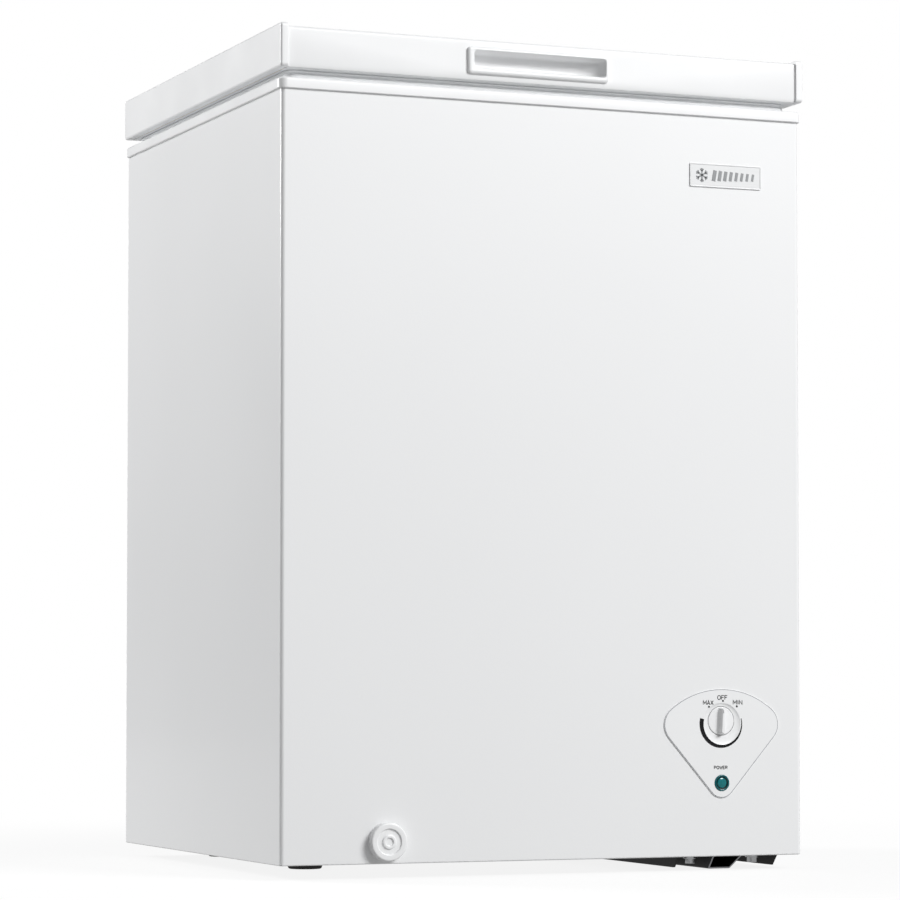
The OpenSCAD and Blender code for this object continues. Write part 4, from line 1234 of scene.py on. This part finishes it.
class FREEZER_OT_hinges(bpy.types.Operator):
    """Hinge covers over the brackets"""
    bl_idname = "freezer.hinges"
    bl_label = "Hinge covers"

    CORNER = 4.5
    EDGE = 2.2
    SLOT_HALF = 14.5
    GAP = 3.6

    def cover(self, name, node):
        """A cover that steps back round the top frame and is slotted for the lid's leaf."""
        low, high = box(node)
        mid = (low.x + high.x) / 2
        back, floor = high.y, REAR + self.GAP
        z0, z1 = RIM_LOW.z - 1.6, high.z
        corner, edge, slot_half = self.CORNER, self.EDGE, self.SLOT_HALF

        def shell(inset, z, gap=0.0):
            """Three-sided plan line of the cover, open towards the cabinet."""
            x0, x1, y1, r = low.x + inset, high.x - inset, back - inset, max(corner - inset, 0.3)
            return plan_view([(x1, REAR + gap)] + arc(x1 - r, y1 - r, r, 0, 90, 5)
                             + arc(x0 + r, y1 - r, r, 90, 180, 5) + [(x0, REAR + gap)], z)
        shape = Shape()
        lower = [shell(i, low.z + d) for i, d in reversed(edge_round(edge))] + [shell(0, z0)]
        shape.loft(lower, closed=False, caps=(True, False))
        upper = [shell(0, z0, self.GAP), shell(0, z1 - edge, self.GAP)]
        upper += [shell(i, z1 - d, self.GAP) for i, d in edge_round(edge)[1:]]
        rear_side = 6
        skip = {(ring, rear_side) for ring in range(len(upper))}
        shape.loft(upper, closed=False, caps=(False, False), skip=skip)
        for x_a, x_b in ((low.x + corner, mid - slot_half), (mid + slot_half, high.x - corner)):
            shape.fill(front_view([(x_a, z0), (x_b, z0), (x_b, z1 - edge), (x_a, z1 - edge)], back))
            strip = [[(x_a, back - i, z1 - d), (x_b, back - i, z1 - d)] for i, d in edge_round(edge)]
            shape.loft(strip, closed=False, caps=(False, False))
            top = [(x_a, back - edge), (x_b, back - edge), (x_b, floor), (x_a, floor)]
            shape.fill(plan_view(top, z1))
        for x_a, x_b, s in ((low.x, low.x + corner, 1), (high.x, high.x - corner, -1)):
            round_end = [(x_b - s * (corner - edge) * sin(t), back - corner + (corner - edge) * cos(t))
                         for t in [pi / 2 * k / 5 for k in range(1, 6)]]
            top = [(x_a + s * edge, floor), (x_b, floor), (x_b, back - edge)] + round_end
            shape.fill(plan_view(top, z1))
        jamb = [(floor, z0), (back, z0), (back, z1 - edge)]
        jamb += [(back - i, z1 - d) for i, d in edge_round(edge)[1:]] + [(floor, z1)]
        slot = mid - slot_half, mid + slot_half
        for x in slot:
            shape.fill(side_view(jamb, x))
        shape.fill(plan_view([(slot[0], floor), (slot[1], floor), (slot[1], back), (slot[0], back)], z0))
        piece(name, shape, [white_trim()], "cabinet", [node], 40, False)

    def execute(self, context):
        self.cover("cover_left", "hinge_cover_left")
        self.cover("cover_right", "hinge_cover_right")
        return {"FINISHED"}


class FREEZER_OT_basket(bpy.types.Operator):
    """Round-wire basket with hooked ends and moulded grips"""
    bl_idname = "freezer.basket"
    bl_label = "Basket"

    RIBS, CROSS_RIBS = 10, 6
    END_GAP = 14
    HOOPS = (55, 110)
    HOOK_REACH = 15
    PRONG_HALF = 3.5
    GRIP = 2.8

    def execute(self, context):
        s = context.scene.freezer_fittings
        r = s.wire / MM
        low, high = box("storage_basket")
        grip_low, grip_high = box("basket_grips")
        x0, x1 = low.x + r, high.x - r
        gap = LINER_SKIN + 7.5
        y0, y1 = WELL_LOW.y + gap + r, WELL_HIGH.y - gap - r
        z0 = low.z + r
        rim = grip_high.z - 6 - 1.6
        shape = Shape()

        def soft(path, bend=7.0):
            """The path with its corners rounded."""
            path = [Vector(p) for p in path]
            out = [path[0]]
            for a, b, c in zip(path, path[1:], path[2:]):
                u, v = (a - b).normalized(), (c - b).normalized()
                out += [b + (u * (1 - t) ** 2 + v * t ** 2) * bend for t in (0, 0.2, 0.4, 0.6, 0.8, 1)]
            return out + [path[-1]]

        def loop(z, thick):
            ring = [(x, y, z) for x, y in round_rect(x0, y0, x1, y1, 14, 6)]
            shape.tube(ring, thick, 10, True)
        loop(rim, r)
        for up in self.HOOPS:
            loop(low.z + up + r, r * 0.86)
        loop(z0 + 0.2, r * 0.9)
        for i in range(self.RIBS):
            x = x0 + self.END_GAP + (x1 - x0 - 2 * self.END_GAP) * i / (self.RIBS - 1)
            rib = [(x, y0 + 0.6, rim), (x, y0 + 0.6, z0), (x, y1 - 0.6, z0), (x, y1 - 0.6, rim)]
            shape.tube(soft(rib), r * 0.8, 8)
        for i in range(1, self.CROSS_RIBS + 1):
            y = y0 + (y1 - y0) * i / (self.CROSS_RIBS + 1)
            rib = [(x0 + 0.6, y, rim), (x0 + 0.6, y, z0 + 1.2), (x1 - 0.6, y, z0 + 1.2), (x1 - 0.6, y, rim)]
            shape.tube(soft(rib), r * 0.8, 8)
        hook = high.z - r
        for x in (low.x + 30, high.x - 30):
            for y, way in ((y0, -1), (y1, 1)):
                tip = y + way * self.HOOK_REACH
                for dx in (-self.PRONG_HALF, self.PRONG_HALF):
                    prong = [(x + dx, y, rim - 10), (x + dx, y, hook), (x + dx, tip, hook)]
                    shape.tube(soft(prong, 4), r * 0.9, 8)
                ends = [(x - self.PRONG_HALF, tip, hook), (x + self.PRONG_HALF, tip, hook)]
                shape.tube(ends, r * 0.9, 8)
        coat = finish("basket_coating", moulded(s.basket, 0.34, 0.00005, 500, 0.5, 0.03))
        piece("wire_basket", shape, [coat], "basket", ["storage_basket"], 50, False)

        shape = Shape()
        for y in (grip_low.y, grip_high.y - self.GRIP):
            shape.block((grip_low.x, y, grip_low.z), (grip_high.x, y + self.GRIP, grip_high.z), 1.2)
            for k in range(7):
                x = grip_low.x + 9 + k * 7
                out = 0.0 if y < 0 else self.GRIP
                shape.block((x, y + out - 0.4, grip_low.z + 3), (x + 3, y + out + 0.3, grip_high.z - 3), 0.3)
        grip = finish("grip_plastic", moulded(s.grip, 0.5, 0.00005, 500))
        piece("basket_handles", shape, [grip], "basket", ["basket_grips"], 40)
        return {"FINISHED"}


# ---------------------------------------------------------------- carried-over nodes

class FREEZER_OT_carried(bpy.types.Operator):
    """Finishes and softened edges for the nodes that keep their engineering shape"""
    bl_idname = "freezer.carried"
    bl_label = "Carried-over parts"

    def execute(self, context):
        copper = finish("copper_tube", plated((0.72, 0.36, 0.20), 0.3, (1, 1, 1), 200))
        tube = finish("evaporator_tube", plated((0.72, 0.73, 0.74), 0.35))
        foam = finish("insulation_foam", foamed)
        case = finish("thermostat_case", plated((0.50, 0.52, 0.55), 0.45))
        jobs = [
            (galvanised(), 0.0003, ["base_panel"]),
            (foam, 0.0, ["cabinet_foam", "lid_foam"]),
            (black_enamel(), 0.0006, ["compressor_shell", "condenser_coil"]),
            (black_plastic(), 0.0008, ["terminal_cover"]),
            (dark_rubber(), 0.0006, ["compressor_mounts", "wiring"]),
            (zinc(), 0.0004, ["compressor_bolts", "grille_screws", "foot_screws", "hinge_bracket_left",
                              "hinge_bracket_right", "hinge_pins", "bracket_screws", "hinge_leaf_left",
                              "hinge_leaf_right", "leaf_screws"]),
            (zinc(), 0.0, ["hinge_springs"]),
            (copper, 0.0003, ["filter_drier", "suction_line", "discharge_line"]),
            (tube, 0.0, ["evaporator_coil"]),
            (case, 0.0005, ["thermostat"]),
            (liner_sheet(), 0.0, ["drain_tube"]),
        ]
        for material, edge, nodes in jobs:
            for node in nodes:
                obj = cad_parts[node]
                obj.data.materials.clear()
                obj.data.materials.append(material)
                obj.data.polygons.foreach_set("use_smooth", [True] * len(obj.data.polygons))
                obj.data.polygons.foreach_set("material_index", [0] * len(obj.data.polygons))
                if edge:
                    weld = obj.modifiers.new("Join", "WELD")
                    weld.merge_threshold = 0.00001
                    bevel = obj.modifiers.new("Soft edges", "BEVEL")
                    bevel.width = edge
                    bevel.segments = 2
                    bevel.limit_method = "ANGLE"
                    bevel.angle_limit = radians(32)
                    bevel.harden_normals = True
        return {"FINISHED"}


# ---------------------------------------------------------------- panel and registration

OPERATORS = (FREEZER_OT_stage, FREEZER_OT_cabinet, FREEZER_OT_rim, FREEZER_OT_liner, FREEZER_OT_lid,
             FREEZER_OT_handle, FREEZER_OT_badge, FREEZER_OT_controls, FREEZER_OT_drain,
             FREEZER_OT_underside, FREEZER_OT_back, FREEZER_OT_hinges, FREEZER_OT_basket, FREEZER_OT_carried)


class FREEZER_PT_sidebar(bpy.types.Panel):
    """Lists the freezer's pieces and settings"""
    bl_idname = "FREEZER_PT_sidebar"
    bl_label = "Chest freezer"
    bl_space_type = "VIEW_3D"
    bl_region_type = "UI"
    bl_category = "Freezer"

    def draw(self, context):
        layout = self.layout
        for operator in OPERATORS:
            layout.operator(operator.bl_idname)
        for name in SETTINGS:
            group = getattr(context.scene, name)
            for prop in group.bl_rna.properties.keys():
                if prop not in {"rna_type", "name"}:
                    layout.prop(group, prop)


SETTINGS = {
    "freezer_cabinet": FreezerCabinetSettings,
    "freezer_lid": FreezerLidSettings,
    "freezer_controls": FreezerControlSettings,
    "freezer_fittings": FreezerFittingSettings,
}


def register():
    for cls in (*SETTINGS.values(), *OPERATORS, FREEZER_PT_sidebar):
        bpy.utils.register_class(cls)
    for name, group in SETTINGS.items():
        setattr(bpy.types.Scene, name, PointerProperty(type=group))


def unregister():
    for name in SETTINGS:
        delattr(bpy.types.Scene, name)
    for cls in (FREEZER_PT_sidebar, *reversed(OPERATORS), *SETTINGS.values()):
        bpy.utils.unregister_class(cls)


def main():
    register()
    for operator in OPERATORS:
        group, name = operator.bl_idname.split(".")
        getattr(getattr(bpy.ops, group), name)()


if __name__ == "__main__":
    main()
